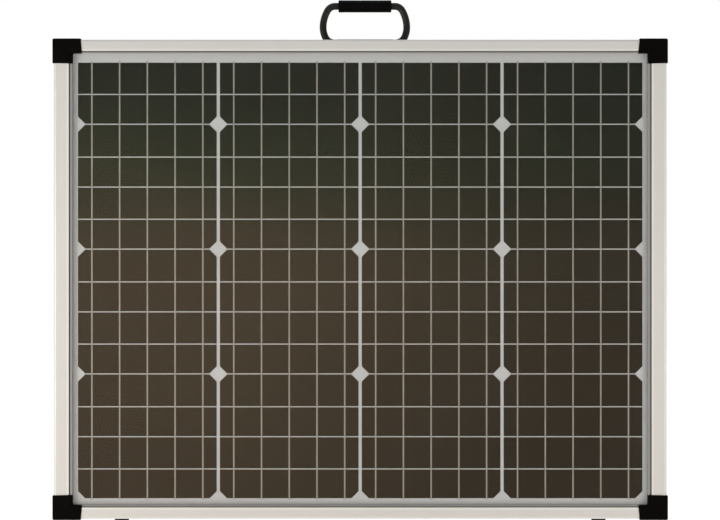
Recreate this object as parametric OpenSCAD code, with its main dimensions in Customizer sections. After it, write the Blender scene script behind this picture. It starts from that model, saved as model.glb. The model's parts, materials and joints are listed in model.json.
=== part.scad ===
// Folding solar suitcase: two framed solar panels hinged along their lower edge.
// The case stands closed, with glass on both outer faces. X runs along the case, Y through
// its thickness (front panel at -Y, rear panel at +Y) and Z up from the surface it stands on.

/* [Case] */
// Width over the corner caps
case_w = 690; // [660:10:740]
// Height over the corner caps
case_h = 540; // [520:10:600]
// Depth of each panel's frame
frame_depth = 35; // [34:1:38]
// Gap between the backs of the two closed panels
seam_gap = 3; // [2.8:0.1:3.2]
// Height of the corner caps above the floor, which the feet make up
foot_lift = 4.6; // [4.5:0.1:5]
// Skin thickness of the corner caps outside the frame
cap_skin = 1; // [0.8:0.1:1.2]

/* [Frame] */
// Visible face of the upright bars
stile_face = 17.2; // [16:0.2:20]
// Visible face of the level bars
rail_face = 13.1; // [12.5:0.1:15]
// Width of the inner lip of the upright bars
stile_lip = 2.2; // [1.8:0.1:2.6]
// Width of the inner lip of the level bars
rail_lip = 1.1; // [1:0.1:1.5]
// Wall thickness of the hollow bars
bar_wall = 1.8; // [1.5:0.1:2]
// Reach of the back flange from the bar's outer edge
flange_reach = 24; // [22:1:25]

/* [Cells] */
// Columns of cells
cell_columns = 4; // [3:1:5]
// Gap between the columns
column_gap = 3.6; // [2.5:0.1:5]
// Gap between the strips of one column
strip_gap = 1.2; // [0.8:0.1:2]
// Clear margin at the left and right of the cells
side_margin = 5.65; // [5:0.05:10]
// Clear margin above the cells
top_margin = 9.1; // [8:0.1:14]
// Clear margin below the cells
bottom_margin = 6.6; // [6:0.1:12]
// Cut corner of each full cell
cell_chamfer = 8; // [5:0.5:10]
// Ribbons along each cell
ribbons_per_cell = 5; // [2:1:6]
// Width of a ribbon
ribbon_w = 1.6; // [1:0.1:2]

/* [Handle] */
// Sideways offset of the handle from the middle of the case
handle_offset = 5.5; // [-20:0.5:20]
// Width over the bail
bail_w = 105; // [100:1:120]
// Diameter of the bail's rod
rod_d = 8; // [7:0.5:8]
// Diameter of the grip sleeve
grip_d = 14; // [12:0.5:16]

/* [Latches] */
// Height of the latches above the caps' lower face
latch_height = 440; // [400:5:460]

/* [Stands] */
// Length of a stand arm from its pivot to the foot bar
stand_length = 330; // [300:5:340]
// Height of the lower arm above the caps' lower face
stand_low = 160; // [158:1:170]
// Distance between the two arms
stand_spread = 310; // [280:5:320]

/* [Controller] */
// Width of the charge controller
controller_w = 150; // [140:5:160]
// Height of the charge controller
controller_h = 86; // [80:2:96]
// Travel of its push buttons
button_travel = 1; // [0.5:0.1:1.2]

/* [Hidden] */
$fn = 64;
frame_w = case_w - 2*cap_skin;
frame_h = case_h - 2*cap_skin;
frame_bottom = foot_lift + cap_skin;
frame_top = frame_bottom + frame_h;
half_case = seam_gap/2 + frame_depth;
corner_r = 3;

// Bar section, measured across the bar (from its outer edge) and back from its front face
groove_w = 1.4;
rail_groove_w = 1.1;
groove_depth = 1.4;
lip_drop = 0.6;
lip_back = 2.2;
ledge_front = 7.7;
ledge_back = 9.5;
channel_reach = 6.8;
flange_t = 2;
stile_total = stile_face + groove_w + stile_lip;
rail_total = rail_face + rail_groove_w + rail_lip;
bar_end_gap = 2;
flange_gap = 0.2;

// Laminate, measured back from the frame's front face
glass_front = 2.7;
glass_t = 3.2;
ribbon_t = 0.15;
cell_t = 0.2;
backsheet_t = 0.85;
ribbon_front = glass_front + glass_t;
cell_front = ribbon_front + ribbon_t;
backsheet_front = cell_front + cell_t;
laminate_back = backsheet_front + backsheet_t;
glass_bite = 5.3;
seal_bite = 6.6;
aperture_w = frame_w - 2*stile_total;
aperture_h = frame_h - 2*rail_total;
aperture_bottom = frame_bottom + rail_total;
aperture_top = aperture_bottom + aperture_h;

// Cell field: one half cell at the top, then three full cells of four strips each
full_rows = 3;
field_w = aperture_w - 2*side_margin;
cell_w = (field_w - (cell_columns - 1)*column_gap)/cell_columns;
cell_pitch = cell_w + column_gap;
field_top = aperture_top - top_margin;
field_bottom = aperture_bottom + bottom_margin;
row_pitch = (field_top - field_bottom)/(full_rows + 0.5);
// Cuts between the strips of a full cell, as parts of its height from the top
cell_cuts = [0, 0.263, 0.503, 0.761, 1];
ribbon_overrun = 1;

// Corner caps
cap_arm_x = 33.2;
cap_arm_z = 28.2;
cap_corner_r = 2;
tenon_len = 28;
tenon_play = 0.1;

// Hinges on the lower edge
hinge_z = 2.6;
hinge_x = [-220, 220];
hinge_len = 60;
barrel_r = 2.5;
pin_r = 1.5;
pin_play = 0.05;
leaf_t = 1.3;
leaf_top = 26;
knuckle_gap = 0.3;
hinge_screw_x = [-20, 20];
hinge_screw_z = 15;

// Feet under the lower edge
foot_r = 8;
foot_y = 19;
rear_foot_x = [-300, 300];
front_foot_x = [-270, 270];

// Screws
screw_r = 1.5;
screw_hole_r = 1.55;
screw_head_r = 3;
screw_head_h = 1.6;
screw_len = 7;

// Handle on the rear panel's upper edge
handle_y = 19;
pivot_rise = 4.3;
pivot_z = frame_top + pivot_rise;
knuckle_r = 4.2;
knuckle_half = 32.5;
bail_pin_r = 2.5;
bail_pin_in = 20;
collar_t = 0.2;
collar_len = 1.5;
bail_half = bail_w/2 - rod_d/2;
// The bail's side is widest at side_z; above it a flat arc meets a shoulder, below it a curl
side_z = 18;
side_r = 39;
shoulder_r = 10;
shoulder_angle = 30;
lower_r = 26;
lower_angle = 25;
curl_r = (side_z - lower_r*sin(lower_angle))/(1 - sin(lower_angle));
curl_x = bail_half - lower_r + (lower_r - curl_r)*cos(lower_angle);
bail_top = side_z + side_r*sin(shoulder_angle) + shoulder_r*(1 - sin(shoulder_angle));
bail_top_half = bail_half - side_r + (side_r - shoulder_r)*cos(shoulder_angle);
grip_half = 30.7;
plate_half_x = 36;
plate_half_y = 12;
plate_t = 1.2;

// Draw latches on the outer faces of the upright bars, measured out from the bar
latch_z = foot_lift + latch_height;
latch_plate_t = 1.2;
lever_pivot_y = 9;
lever_pivot_out = 3.4;
loop_pivot_y = 14;
loop_pivot_out = 2.8;
lever_end_y = 33;
lever_half_z = 8;
lever_cheek_t = 1.5;
lever_plate_out = 4.6;
lever_plate_t = 1.4;
lever_cheek_in = 1.4;
lever_eye_r = 2;
latch_ear_t = 1.5;
loop_r = 0.9;
loop_half_z = 11;
loop_end_y = -8;
loop_end_out = 4.2;
latch_pin_r = 1;
latch_play = 0.06;
keeper_tab_y = -5.2;
keeper_tab_t = 1.5;
keeper_tab_out = 3;

// Stands behind the panels
stand_pivot_x = frame_w/2 - 44;
stand_pivot_v = 22;
stand_arm_w = 13;
stand_arm_t = 4;
stand_bar_r = 6;
stand_bolt_r = 3;
stand_play = 0.06;
bracket_t = 3;
bolt_play = 0.3;
stand_low_z = foot_lift + stand_low;
stand_high_z = stand_low_z + stand_spread;

// Junction boxes
box_w = 110;
box_h = 62;
box_wall = 2;
box_depth = 16;
lid_t = 2;
box_x = 60;
box_z = foot_lift + 315;
diode_x = [-22, 22];

// Charge controller on the back of the rear panel
controller_x = -210;
controller_z = foot_lift + 250;
controller_depth = 20;
controller_wall = 2;
cover_t = 2;
window_w = 56;
window_h = 34;
window_shift_z = 14;
button_r = 5;
button_play = 0.1;
button_x = [-22, 22];
button_z = -24;
button_proud = button_travel + 0.4;
gland_r = 6;
gland_bore_r = 3.2;
gland_len = 14;
gland_x = 30;

// ---- Placing ----

// Puts a shape drawn as [x, depth behind the outer face, z] on the front or the rear panel
module on_panel(side) {
    if (side == "front") translate([0, -half_case, 0]) children();
    if (side == "rear") mirror([0, 1, 0]) translate([0, -half_case, 0]) children();
}

// Repeats a shape on both sides of the X = 0 plane
module both_sides() {
    children();
    mirror([1, 0, 0]) children();
}

// Repeats a shape drawn at the lower edge of the frame at its upper edge too
module both_edges() {
    children();
    translate([0, 0, frame_bottom + frame_top]) mirror([0, 0, 1]) children();
}

// Puts a shape drawn as [distance out from the upright bar, y, z] on the right or left bar
module on_stile_face(side) {
    if (side == "right") translate([frame_w/2, 0, latch_z]) children();
    if (side == "left") mirror([1, 0, 0]) translate([frame_w/2, 0, latch_z]) children();
}

// ---- Frame ----

// Section of a hollow frame bar: X across the bar from its outer edge, Y back from its face
module bar_section(face, total, groove) {
    difference() {
        square([total, frame_depth]);
        bar_corner_cut();
        translate([0, frame_depth]) mirror([0, 1]) bar_corner_cut();
        translate([face, -1]) square([groove, 1 + groove_depth]);
        translate([face + groove, -1]) square([total, 1 + lip_drop]);
        translate([total - channel_reach, lip_back]) square([total, ledge_front - lip_back]);
        translate([face, ledge_back]) square([total, frame_depth]);
        translate([bar_wall, bar_wall])
            square([total - channel_reach - 2*bar_wall, frame_depth - 2*bar_wall]);
        translate([bar_wall, ledge_back])
            square([face - 2*bar_wall, frame_depth - bar_wall - ledge_back]);
    }
}

// Waste outside the rounded outer corner of a bar
module bar_corner_cut() {
    difference() {
        translate([-1, -1]) square([corner_r + 1, corner_r + 1]);
        translate([corner_r, corner_r]) circle(corner_r);
    }
}

// Back flange of a bar, in the same section
module flange_section(face) {
    translate([face - bar_wall, frame_depth - flange_t])
        square([flange_reach - face + bar_wall, flange_t]);
}

// Holes drilled from the back face into a panel's bars, listed as [x, z]
module back_holes(places) {
    for (p = places)
        translate([p[0], frame_depth + 1, p[1]]) rotate([90, 0, 0]) cylinder(r = screw_hole_r, h = 5);
}

// The two upright bars of a panel
module stiles(side) {
    bar_end = rail_total + bar_end_gap;
    flange_end = flange_reach + flange_gap;
    on_panel(side) both_sides() difference() {
        translate([-frame_w/2, 0, frame_bottom]) union() {
            translate([0, 0, bar_end])
                linear_extrude(frame_h - 2*bar_end) bar_section(stile_face, stile_total, groove_w);
            translate([0, 0, flange_end])
                linear_extrude(frame_h - 2*flange_end) flange_section(stile_face);
        }
        for (p = latch_screw_places(side))
            translate([-frame_w/2 - 1, half_case - abs(p[0]), latch_z + p[1]])
                rotate([0, 90, 0]) cylinder(r = screw_hole_r, h = bar_wall + 2);
    }
}

// Level bar along X, drawn at the lower edge
module rail() {
    rail_len = frame_w - 2*(stile_total + bar_end_gap);
    translate([0, 0, frame_bottom]) rotate([90, 0, 90])
        linear_extrude(rail_len, center = true) mirror([1, -1]) {
            bar_section(rail_face, rail_total, rail_groove_w);
            flange_section(rail_face);
        }
}

// The two level bars of a panel, drilled for the hinge and handle screws
module rails(side) {
    hinge_places = [for (x = hinge_x, dx = hinge_screw_x) [x + dx, hinge_screw_z]];
    difference() {
        on_panel(side) difference() {
            both_edges() rail();
            back_holes(hinge_places);
        }
        if (side == "rear") handle_screw_places()
            translate([0, 0, -bar_wall - 1]) cylinder(r = screw_hole_r, h = bar_wall + 2);
    }
}

// One corner cap at the lower left: a skin round the bar ends, a core and two tenons
module corner_cap() {
    core_x = stile_total + bar_end_gap;
    core_z = rail_total + bar_end_gap;
    hollow_x = stile_total - channel_reach - 2*bar_wall;
    hollow_z = rail_total - channel_reach - 2*bar_wall;
    tenon_depth = frame_depth - 2*bar_wall - 2*tenon_play;
    translate([-frame_w/2, 0, frame_bottom]) {
        difference() {
            translate([0, frame_depth + cap_skin, 0]) rotate([90, 0, 0])
                linear_extrude(frame_depth + 2*cap_skin) cap_outline();
            translate([0, 0, core_z]) cube([2*cap_arm_x, frame_depth, 2*cap_arm_z]);
            translate([core_x, 0, 0]) cube([2*cap_arm_x, frame_depth, 2*cap_arm_z]);
            translate([stile_total - channel_reach, lip_back, rail_total - channel_reach])
                cube([2*cap_arm_x, ledge_front - lip_back, 2*cap_arm_z]);
        }
        translate([bar_wall + tenon_play, bar_wall + tenon_play, core_z - 1])
            cube([hollow_x - 2*tenon_play, tenon_depth, tenon_len + 1]);
        translate([core_x - 1, bar_wall + tenon_play, bar_wall + tenon_play])
            cube([tenon_len + 1, tenon_depth, hollow_z - 2*tenon_play]);
    }
}

// Outline of a corner cap from the front, with its outer corner rounded
module cap_outline() {
    difference() {
        union() {
            translate([-cap_skin, -cap_skin]) square([cap_arm_x, rail_total + cap_skin]);
            translate([-cap_skin, -cap_skin]) square([stile_total + cap_skin, cap_arm_z]);
        }
        translate([-cap_skin, -cap_skin]) difference() {
            translate([-1, -1]) square([cap_corner_r + 1, cap_corner_r + 1]);
            translate([cap_corner_r, cap_corner_r]) circle(cap_corner_r);
        }
    }
}

// The four corner caps of a panel
module corner_caps(side) {
    on_panel(side) both_sides() both_edges() corner_cap();
}

// ---- Laminate ----

// A sheet of the laminate that reaches past the opening by bite on every side
module sheet_at(front, thickness, bite) {
    translate([-aperture_w/2 - bite, front, aperture_bottom - bite])
        cube([aperture_w + 2*bite, thickness, aperture_h + 2*bite]);
}

module glass(side) {
    on_panel(side) sheet_at(glass_front, glass_t, glass_bite);
}

module backsheet(side) {
    on_panel(side) sheet_at(backsheet_front, backsheet_t, glass_bite);
}

// Rubber channel that wraps the laminate's edge inside the frame
module glass_seal(side) {
    on_panel(side) difference() {
        sheet_at(lip_back, ledge_front - lip_back, seal_bite);
        sheet_at(glass_front, laminate_back - glass_front, glass_bite);
        sheet_at(0, frame_depth, 0);
    }
}

// One strip of a cell from z_low to z_high, with cut corners where the cell ends
module cell_strip(z_low, z_high, cut_low, cut_high) {
    polygon([
        [cut_low, z_low], [cell_w - cut_low, z_low],
        if (cut_low > 0) [cell_w, z_low + cut_low],
        if (cut_high > 0) [cell_w, z_high - cut_high],
        [cell_w - cut_high, z_high], [cut_high, z_high],
        if (cut_high > 0) [0, z_high - cut_high],
        if (cut_low > 0) [0, z_low + cut_low]
    ]);
}

// One column of strips: the lower half of a cell at the top, then the full cells
module cell_column() {
    last = len(cell_cuts) - 1;
    for (row = [0 : full_rows], k = [0 : last - 1])
        if (row > 0 || k >= last/2) {
            cell_top = field_top + (0.5 - row)*row_pitch;
            cell_strip(
                cell_top - cell_cuts[k + 1]*row_pitch + strip_gap/2,
                cell_top - cell_cuts[k]*row_pitch - strip_gap/2,
                k == last - 1 ? cell_chamfer : 0,
                k == 0 ? cell_chamfer : 0);
        }
}

module cells(side) {
    on_panel(side) for (column = [0 : cell_columns - 1])
        translate([-field_w/2 + column*cell_pitch, cell_front + cell_t, 0])
            rotate([90, 0, 0]) linear_extrude(cell_t) cell_column();
}

// Flat ribbons on the cells' faces, evenly spaced across each cell
module ribbons(side) {
    ribbon_pitch = cell_w/ribbons_per_cell;
    on_panel(side) for (column = [0 : cell_columns - 1], k = [0 : ribbons_per_cell - 1])
        translate([
            -field_w/2 + column*cell_pitch + (k + 0.5)*ribbon_pitch - ribbon_w/2,
            ribbon_front, field_bottom - ribbon_overrun
        ]) cube([ribbon_w, ribbon_t, field_top - field_bottom + 2*ribbon_overrun]);
}

// ---- Junction box ----

module junction_box(side) {
    on_panel(side) translate([box_x, laminate_back, box_z]) difference() {
        translate([-box_w/2, 0, -box_h/2]) cube([box_w, box_depth, box_h]);
        translate([-box_w/2 + box_wall, box_wall, -box_h/2 + box_wall])
            cube([box_w - 2*box_wall, box_depth, box_h - 2*box_wall]);
        for (x = [-box_w/4, box_w/4])
            translate([x, box_depth/2 + 1, -box_h/2 - 1]) cylinder(r = gland_bore_r, h = box_wall + 2);
    }
}

module junction_lid(side) {
    on_panel(side) translate([box_x, laminate_back + box_depth, box_z]) {
        translate([-box_w/2, 0, -box_h/2]) cube([box_w, lid_t, box_h]);
        difference() {
            lip_w = box_w - 2*box_wall - 0.4;
            lip_h = box_h - 2*box_wall - 0.4;
            translate([-lip_w/2, -2, -lip_h/2]) cube([lip_w, 2, lip_h]);
            translate([-lip_w/2 + 1.5, -3, -lip_h/2 + 1.5]) cube([lip_w - 3, 3, lip_h - 3]);
        }
    }
}

// Axial bypass diodes lying on the floor of the junction box
module bypass_diodes(side) {
    on_panel(side) for (x = diode_x) translate([box_x + x, laminate_back + box_wall + 4, box_z]) {
        rotate([0, 90, 0]) cylinder(r = 3.5, h = 10, center = true);
        rotate([0, 90, 0]) cylinder(r = 0.6, h = 24, center = true);
    }
}

// ---- Feet and hinges ----

module feet(places, y) {
    for (x = places) translate([x, y, 0]) cylinder(r = foot_r, h = frame_bottom);
}

// Knuckles of one leaf: the rear leaf has the two outer ones, the front leaf the middle one
function knuckle_spans(side) = side == "rear"
    ? [[-hinge_len/2, -hinge_len/6], [hinge_len/6, hinge_len/2]]
    : [[-hinge_len/6, hinge_len/6]];

// One hinge leaf along X at the lower seam, flat on the back of its panel's lower bar
module hinge_leaf(side) {
    facing = side == "rear" ? 1 : -1;
    other = side == "rear" ? "front" : "rear";
    leaf_low = hinge_z;
    leaf_y = seam_gap/2 - leaf_t;
    difference() {
        union() {
            translate([-hinge_len/2, facing > 0 ? leaf_y : -leaf_y - leaf_t, leaf_low])
                cube([hinge_len, leaf_t, leaf_top - leaf_low]);
            for (s = knuckle_spans(side))
                translate([s[0] + knuckle_gap/2, 0, hinge_z])
                    rotate([0, 90, 0]) cylinder(r = barrel_r, h = s[1] - s[0] - knuckle_gap);
        }
        for (s = knuckle_spans(other))
            translate([s[0] - knuckle_gap/2, -2*barrel_r, hinge_z - 2*barrel_r])
                cube([s[1] - s[0] + knuckle_gap, 4*barrel_r, 3*barrel_r + knuckle_gap]);
        translate([-hinge_len, 0, hinge_z]) rotate([0, 90, 0])
            cylinder(r = pin_r + pin_play, h = 2*hinge_len);
        for (x = hinge_screw_x) translate([x, 0, hinge_screw_z]) rotate([-90*facing, 0, 0]) {
            cylinder(r = screw_hole_r, h = 5);
            translate([0, 0, seam_gap/2 - leaf_t - 0.01])
                cylinder(r1 = screw_head_r + 0.1, r2 = screw_hole_r, h = leaf_t + 0.01);
        }
    }
}

module hinge_leaves(side) {
    for (x = hinge_x) translate([x, 0, 0]) hinge_leaf(side);
}

module hinge_pins() {
    for (x = hinge_x) translate([x - hinge_len/2, 0, hinge_z])
        rotate([0, 90, 0]) cylinder(r = pin_r, h = hinge_len);
}

// Countersunk screws through the leaves into the lower bar's back wall
module hinge_screws(side) {
    facing = side == "rear" ? 1 : -1;
    for (x = hinge_x, dx = hinge_screw_x)
        translate([x + dx, 0, hinge_screw_z]) rotate([-90*facing, 0, 0])
            translate([0, 0, seam_gap/2 - leaf_t]) {
                cylinder(r1 = screw_head_r, r2 = screw_r, h = leaf_t);
                cylinder(r = screw_r, h = screw_len);
            }
}

// ---- Handle ----

// Places of the four handle screws on the top of the rear panel
module handle_screw_places() {
    for (x = [-26, 26], y = [-8, 8])
        translate([handle_offset + x, handle_y + y, frame_top]) children();
}

// Plate with a rolled barrel that holds the bail's inward ends
module handle_plate() {
    difference() {
        union() {
            translate([handle_offset - plate_half_x, handle_y - plate_half_y, frame_top])
                cube([2*plate_half_x, 2*plate_half_y, plate_t]);
            intersection() {
                translate([handle_offset - knuckle_half, handle_y, pivot_z])
                    rotate([0, 90, 0]) cylinder(r = knuckle_r, h = 2*knuckle_half);
                translate([-case_w, -case_w, frame_top]) cube([2*case_w, 2*case_w, 100]);
            }
        }
        translate([handle_offset - case_w, handle_y, pivot_z])
            rotate([0, 90, 0]) cylinder(r = bail_pin_r + pin_play, h = 2*case_w);
        for (s = [-1, 1]) translate([handle_offset + s*(knuckle_half + 10.3), handle_y, frame_top + 3])
            cube([20, rod_d + 1, 6], center = true);
        handle_screw_places() translate([0, 0, -1]) cylinder(r = screw_hole_r, h = 5);
    }
}

module handle_screws() {
    handle_screw_places() {
        translate([0, 0, plate_t - screw_len]) cylinder(r = screw_r, h = screw_len);
        translate([0, 0, plate_t]) cylinder(r = screw_head_r, h = screw_head_h);
    }
}

// An arc of round rod in the XZ plane, about its own centre
module rod_arc(radius, from, sweep) {
    rotate([90, 0, 0]) rotate([0, 0, from])
        rotate_extrude(angle = sweep) translate([radius, 0]) circle(rod_d/2);
}

// Collar round the rod at [x, 0, z], where two lengths meet; tilt turns it from +Z towards -X
module rod_collar(x, z, tilt) {
    translate([x, 0, z]) rotate([0, -tilt, 0])
        cylinder(r = rod_d/2 + collar_t, h = collar_len, center = true);
}

// Half of the bail on the +X side: a stub in the barrel, a curl, a bowed side and a shoulder
module bail_half_rod() {
    side_x = bail_half - side_r;
    lower_x = bail_half - lower_r;
    stub_end = knuckle_half + 0.5;
    translate([bail_pin_in, 0, 0]) rotate([0, 90, 0])
        cylinder(r = bail_pin_r, h = stub_end + 0.5 - bail_pin_in);
    translate([stub_end, 0, 0]) rotate([0, 90, 0])
        cylinder(r = rod_d/2 + collar_t, h = curl_x + collar_len/2 - stub_end);
    translate([curl_x, 0, curl_r]) rod_arc(curl_r, -90, 90 - lower_angle);
    rod_collar(lower_x + lower_r*cos(lower_angle), side_z - lower_r*sin(lower_angle), -lower_angle);
    translate([lower_x, 0, side_z]) rod_arc(lower_r, -lower_angle, lower_angle);
    rod_collar(bail_half, side_z, 0);
    translate([side_x, 0, side_z]) rod_arc(side_r, 0, shoulder_angle);
    rod_collar(side_x + side_r*cos(shoulder_angle), side_z + side_r*sin(shoulder_angle), shoulder_angle);
    translate([bail_top_half, 0, bail_top - shoulder_r])
        rod_arc(shoulder_r, shoulder_angle, 90 - shoulder_angle);
    rod_collar(bail_top_half, bail_top, 90);
}

module handle_bail() {
    translate([handle_offset, handle_y, pivot_z]) {
        both_sides() bail_half_rod();
        translate([-bail_top_half, 0, bail_top])
            rotate([0, 90, 0]) cylinder(r = rod_d/2, h = 2*bail_top_half);
    }
}

// Sleeve on the bail's straight top
module handle_grip() {
    translate([handle_offset - grip_half, handle_y, pivot_z + bail_top]) rotate([0, 90, 0])
        difference() {
            cylinder(r = grip_d/2, h = 2*grip_half);
            translate([0, 0, -1]) cylinder(r = rod_d/2 + collar_t + 0.05, h = 2*grip_half + 2);
        }
}

// ---- Latches ----

// Screw places of a latch base (rear) or a keeper (front), as [y from the seam, z]
function latch_screw_places(side) = side == "rear" ? [[24, -5], [24, 5]] : [[14, -4], [14, 4]];

// Fixed base of a draw latch on the rear panel, with an ear on each side of the lever
module latch_base() {
    ear_in = lever_half_z + 0.2;
    difference() {
        union() {
            translate([0, lever_pivot_y - 4, -ear_in - latch_ear_t])
                cube([latch_plate_t, 29, 2*(ear_in + latch_ear_t)]);
            for (z = [-ear_in - latch_ear_t, ear_in]) translate([0, lever_pivot_y - 3, z])
                cube([lever_pivot_out + 2, 6, latch_ear_t]);
        }
        translate([lever_pivot_out, lever_pivot_y, -20]) cylinder(r = latch_pin_r + latch_play, h = 40);
        for (p = latch_screw_places("rear"))
            translate([-1, p[0], p[1]]) rotate([0, 90, 0]) cylinder(r = screw_hole_r, h = 4);
    }
}

module latch_bases() {
    for (side = ["left", "right"]) on_stile_face(side) latch_base();
}

module latch_pins() {
    half = lever_half_z + 0.2 + latch_ear_t;
    for (side = ["left", "right"]) on_stile_face(side)
        translate([lever_pivot_out, lever_pivot_y, -half]) cylinder(r = latch_pin_r, h = 2*half);
}

// Low pan screws; the lever's folded plate passes over them
module pan_screws(places, facing, seat) {
    for (side = ["left", "right"], p = places)
        on_stile_face(side) translate([seat, facing*p[0], p[1]]) rotate([0, 90, 0]) {
            translate([0, 0, -screw_len]) cylinder(r = screw_r, h = screw_len);
            cylinder(r = screw_head_r, h = 1);
        }
}

// Lever folded flat over its base: a plate with two cheeks that carry the pivots
module latch_lever() {
    plate_y = lever_pivot_y + lever_eye_r;
    cheek_end = loop_pivot_y + 3;
    cheek_h = lever_plate_out - lever_cheek_in + 0.1;
    difference() {
        union() {
            translate([lever_plate_out, plate_y, -lever_half_z])
                cube([lever_plate_t, lever_end_y - plate_y, 2*lever_half_z]);
            translate([lever_plate_out + lever_plate_t/2, lever_end_y, -lever_half_z])
                cylinder(r = lever_plate_t/2, h = 2*lever_half_z);
            for (z = [-lever_half_z, lever_half_z - lever_cheek_t]) {
                translate([lever_cheek_in, lever_pivot_y, z])
                    cube([cheek_h, cheek_end - lever_pivot_y, lever_cheek_t]);
                translate([lever_pivot_out, lever_pivot_y, z]) cylinder(r = lever_eye_r, h = lever_cheek_t);
            }
        }
        translate([lever_pivot_out, lever_pivot_y, -20]) cylinder(r = latch_pin_r + latch_play, h = 40);
        translate([loop_pivot_out, loop_pivot_y, -20]) cylinder(r = loop_r + latch_play, h = 40);
    }
}

// Wire loop hooked into the lever's cheeks; it lies across the seam, clear of the keeper
module latch_loop() {
    run_y = loop_pivot_y - loop_end_y;
    run_out = loop_end_out - loop_pivot_out;
    slope = atan2(run_out, run_y);
    wire_len = sqrt(run_y*run_y + run_out*run_out);
    translate([loop_pivot_out, loop_pivot_y, 0]) {
        for (s = [-1, 1]) translate([0, 0, s > 0 ? lever_half_z - lever_cheek_t : -loop_half_z])
            cylinder(r = loop_r, h = loop_half_z - lever_half_z + lever_cheek_t);
        rotate([0, 0, slope]) {
            for (s = [-1, 1]) translate([0, 0, s*loop_half_z]) {
                rotate([90, 0, 0]) cylinder(r = loop_r, h = wire_len);
                sphere(loop_r);
                translate([0, -wire_len, 0]) sphere(loop_r);
            }
            translate([0, -wire_len, -loop_half_z]) cylinder(r = loop_r, h = 2*loop_half_z);
        }
    }
}

// Keepers on the front panel: a plate with an upright tab that the loop drops behind
module latch_keepers() {
    for (side = ["left", "right"]) on_stile_face(side) difference() {
        union() {
            translate([0, -18, -7]) cube([latch_plate_t, 18 + keeper_tab_y, 14]);
            translate([0, keeper_tab_y - keeper_tab_t, -7]) cube([keeper_tab_out, keeper_tab_t, 14]);
        }
        for (p = latch_screw_places("front"))
            translate([-1, -p[0], p[1]]) rotate([0, 90, 0]) cylinder(r = screw_hole_r, h = 4);
    }
}

// ---- Stands ----

// Angle brackets on the right upright bar, one beside each arm
module stand_brackets(side) {
    web_x = frame_w/2 - stile_face - stand_pivot_x + 8;
    on_panel(side) for (z = [stand_low_z, stand_high_z])
        translate([0, 0, z + stand_arm_t/2 + bolt_play]) difference() {
            union() {
                translate([stand_pivot_x - 8, stand_pivot_v - 8, 0])
                    cube([web_x, 16, bracket_t]);
                translate([frame_w/2 - stile_face - bracket_t, stand_pivot_v - 8, 0])
                    cube([bracket_t, 16, 24]);
            }
            translate([stand_pivot_x, stand_pivot_v, -1])
                cylinder(r = stand_bolt_r + stand_play, h = 10);
        }
}

// Pivot bolts with a head below the arm and a nut above the bracket
module stand_bolts(side) {
    on_panel(side) for (z = [stand_low_z, stand_high_z])
        translate([stand_pivot_x, stand_pivot_v, z]) {
            translate([0, 0, -stand_arm_t/2 - bolt_play])
                cylinder(r = stand_bolt_r, h = stand_arm_t + bracket_t + 2*bolt_play + 5);
            translate([0, 0, -stand_arm_t/2 - bolt_play - 3]) cylinder(r = 5, h = 3);
            translate([0, 0, stand_arm_t/2 + bolt_play + bracket_t]) cylinder(r = 5.5, h = 4, $fn = 6);
        }
}

// Two flat arms with round pivot ends
module stand_arms(side) {
    on_panel(side) for (z = [stand_low_z, stand_high_z])
        translate([stand_pivot_x, stand_pivot_v, z - stand_arm_t/2]) difference() {
            union() {
                cylinder(r = stand_arm_w/2, h = stand_arm_t);
                translate([-stand_length, -stand_arm_w/2, 0])
                    cube([stand_length, stand_arm_w, stand_arm_t]);
            }
            translate([0, 0, -1]) cylinder(r = stand_bolt_r + stand_play, h = 10);
        }
}

// Foot bar between the arms' far ends
module stand_bar(side) {
    inner = stand_spread - stand_arm_t;
    bar_x = stand_pivot_x - stand_length + stand_bar_r + 1;
    on_panel(side) translate([bar_x, stand_pivot_v, stand_low_z + stand_arm_t/2])
        difference() {
            cylinder(r = stand_bar_r, h = inner);
            translate([0, 0, 20]) cylinder(r = stand_bar_r - 1.5, h = inner - 40);
        }
}

// ---- Charge controller ----

// Puts a shape drawn as [x, depth behind the laminate, z] where the controller sits
module at_controller() {
    on_panel("rear") translate([controller_x, laminate_back, controller_z]) children();
}

// Screw places of the controller's cover
module controller_corners() {
    for (x = [-1, 1], z = [-1, 1])
        translate([x*(controller_w/2 - 7), 0, z*(controller_h/2 - 7)]) rotate([-90, 0, 0]) children();
}

module controller_case() {
    inner_w = controller_w - 2*controller_wall;
    inner_h = controller_h - 2*controller_wall;
    at_controller() difference() {
        union() {
            difference() {
                translate([-controller_w/2, 0, -controller_h/2])
                    cube([controller_w, controller_depth, controller_h]);
                translate([-inner_w/2, controller_wall, -inner_h/2])
                    cube([inner_w, controller_depth, inner_h]);
            }
            controller_corners() translate([0, 0, 1]) cylinder(r = 4, h = controller_depth - 1);
        }
        controller_corners() translate([0, 0, controller_depth - 8]) cylinder(r = screw_hole_r, h = 20);
        translate([gland_x, controller_depth/2, -controller_h/2 - 1])
            cylinder(r = gland_r - 1.5, h = controller_wall + 2);
    }
}

module controller_cover() {
    at_controller() translate([0, controller_depth, 0]) difference() {
        translate([-controller_w/2, 0, -controller_h/2]) cube([controller_w, cover_t, controller_h]);
        translate([-window_w/2, -1, window_shift_z - window_h/2]) cube([window_w, cover_t + 2, window_h]);
        for (x = button_x) translate([x, -1, button_z]) rotate([-90, 0, 0])
            cylinder(r = button_r + button_play, h = cover_t + 2);
        controller_corners() translate([0, 0, -1]) cylinder(r = screw_hole_r, h = cover_t + 2);
    }
}

// Display: a module behind the cover with a raised window that fills the opening
module controller_display() {
    play = 0.1;
    at_controller() translate([0, controller_depth, window_shift_z]) {
        translate([-window_w/2 - 3, -4, -window_h/2 - 3]) cube([window_w + 6, 4, window_h + 6]);
        translate([-window_w/2 + play, 0, -window_h/2 + play])
            cube([window_w - 2*play, cover_t - 0.5, window_h - 2*play]);
    }
}

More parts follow.
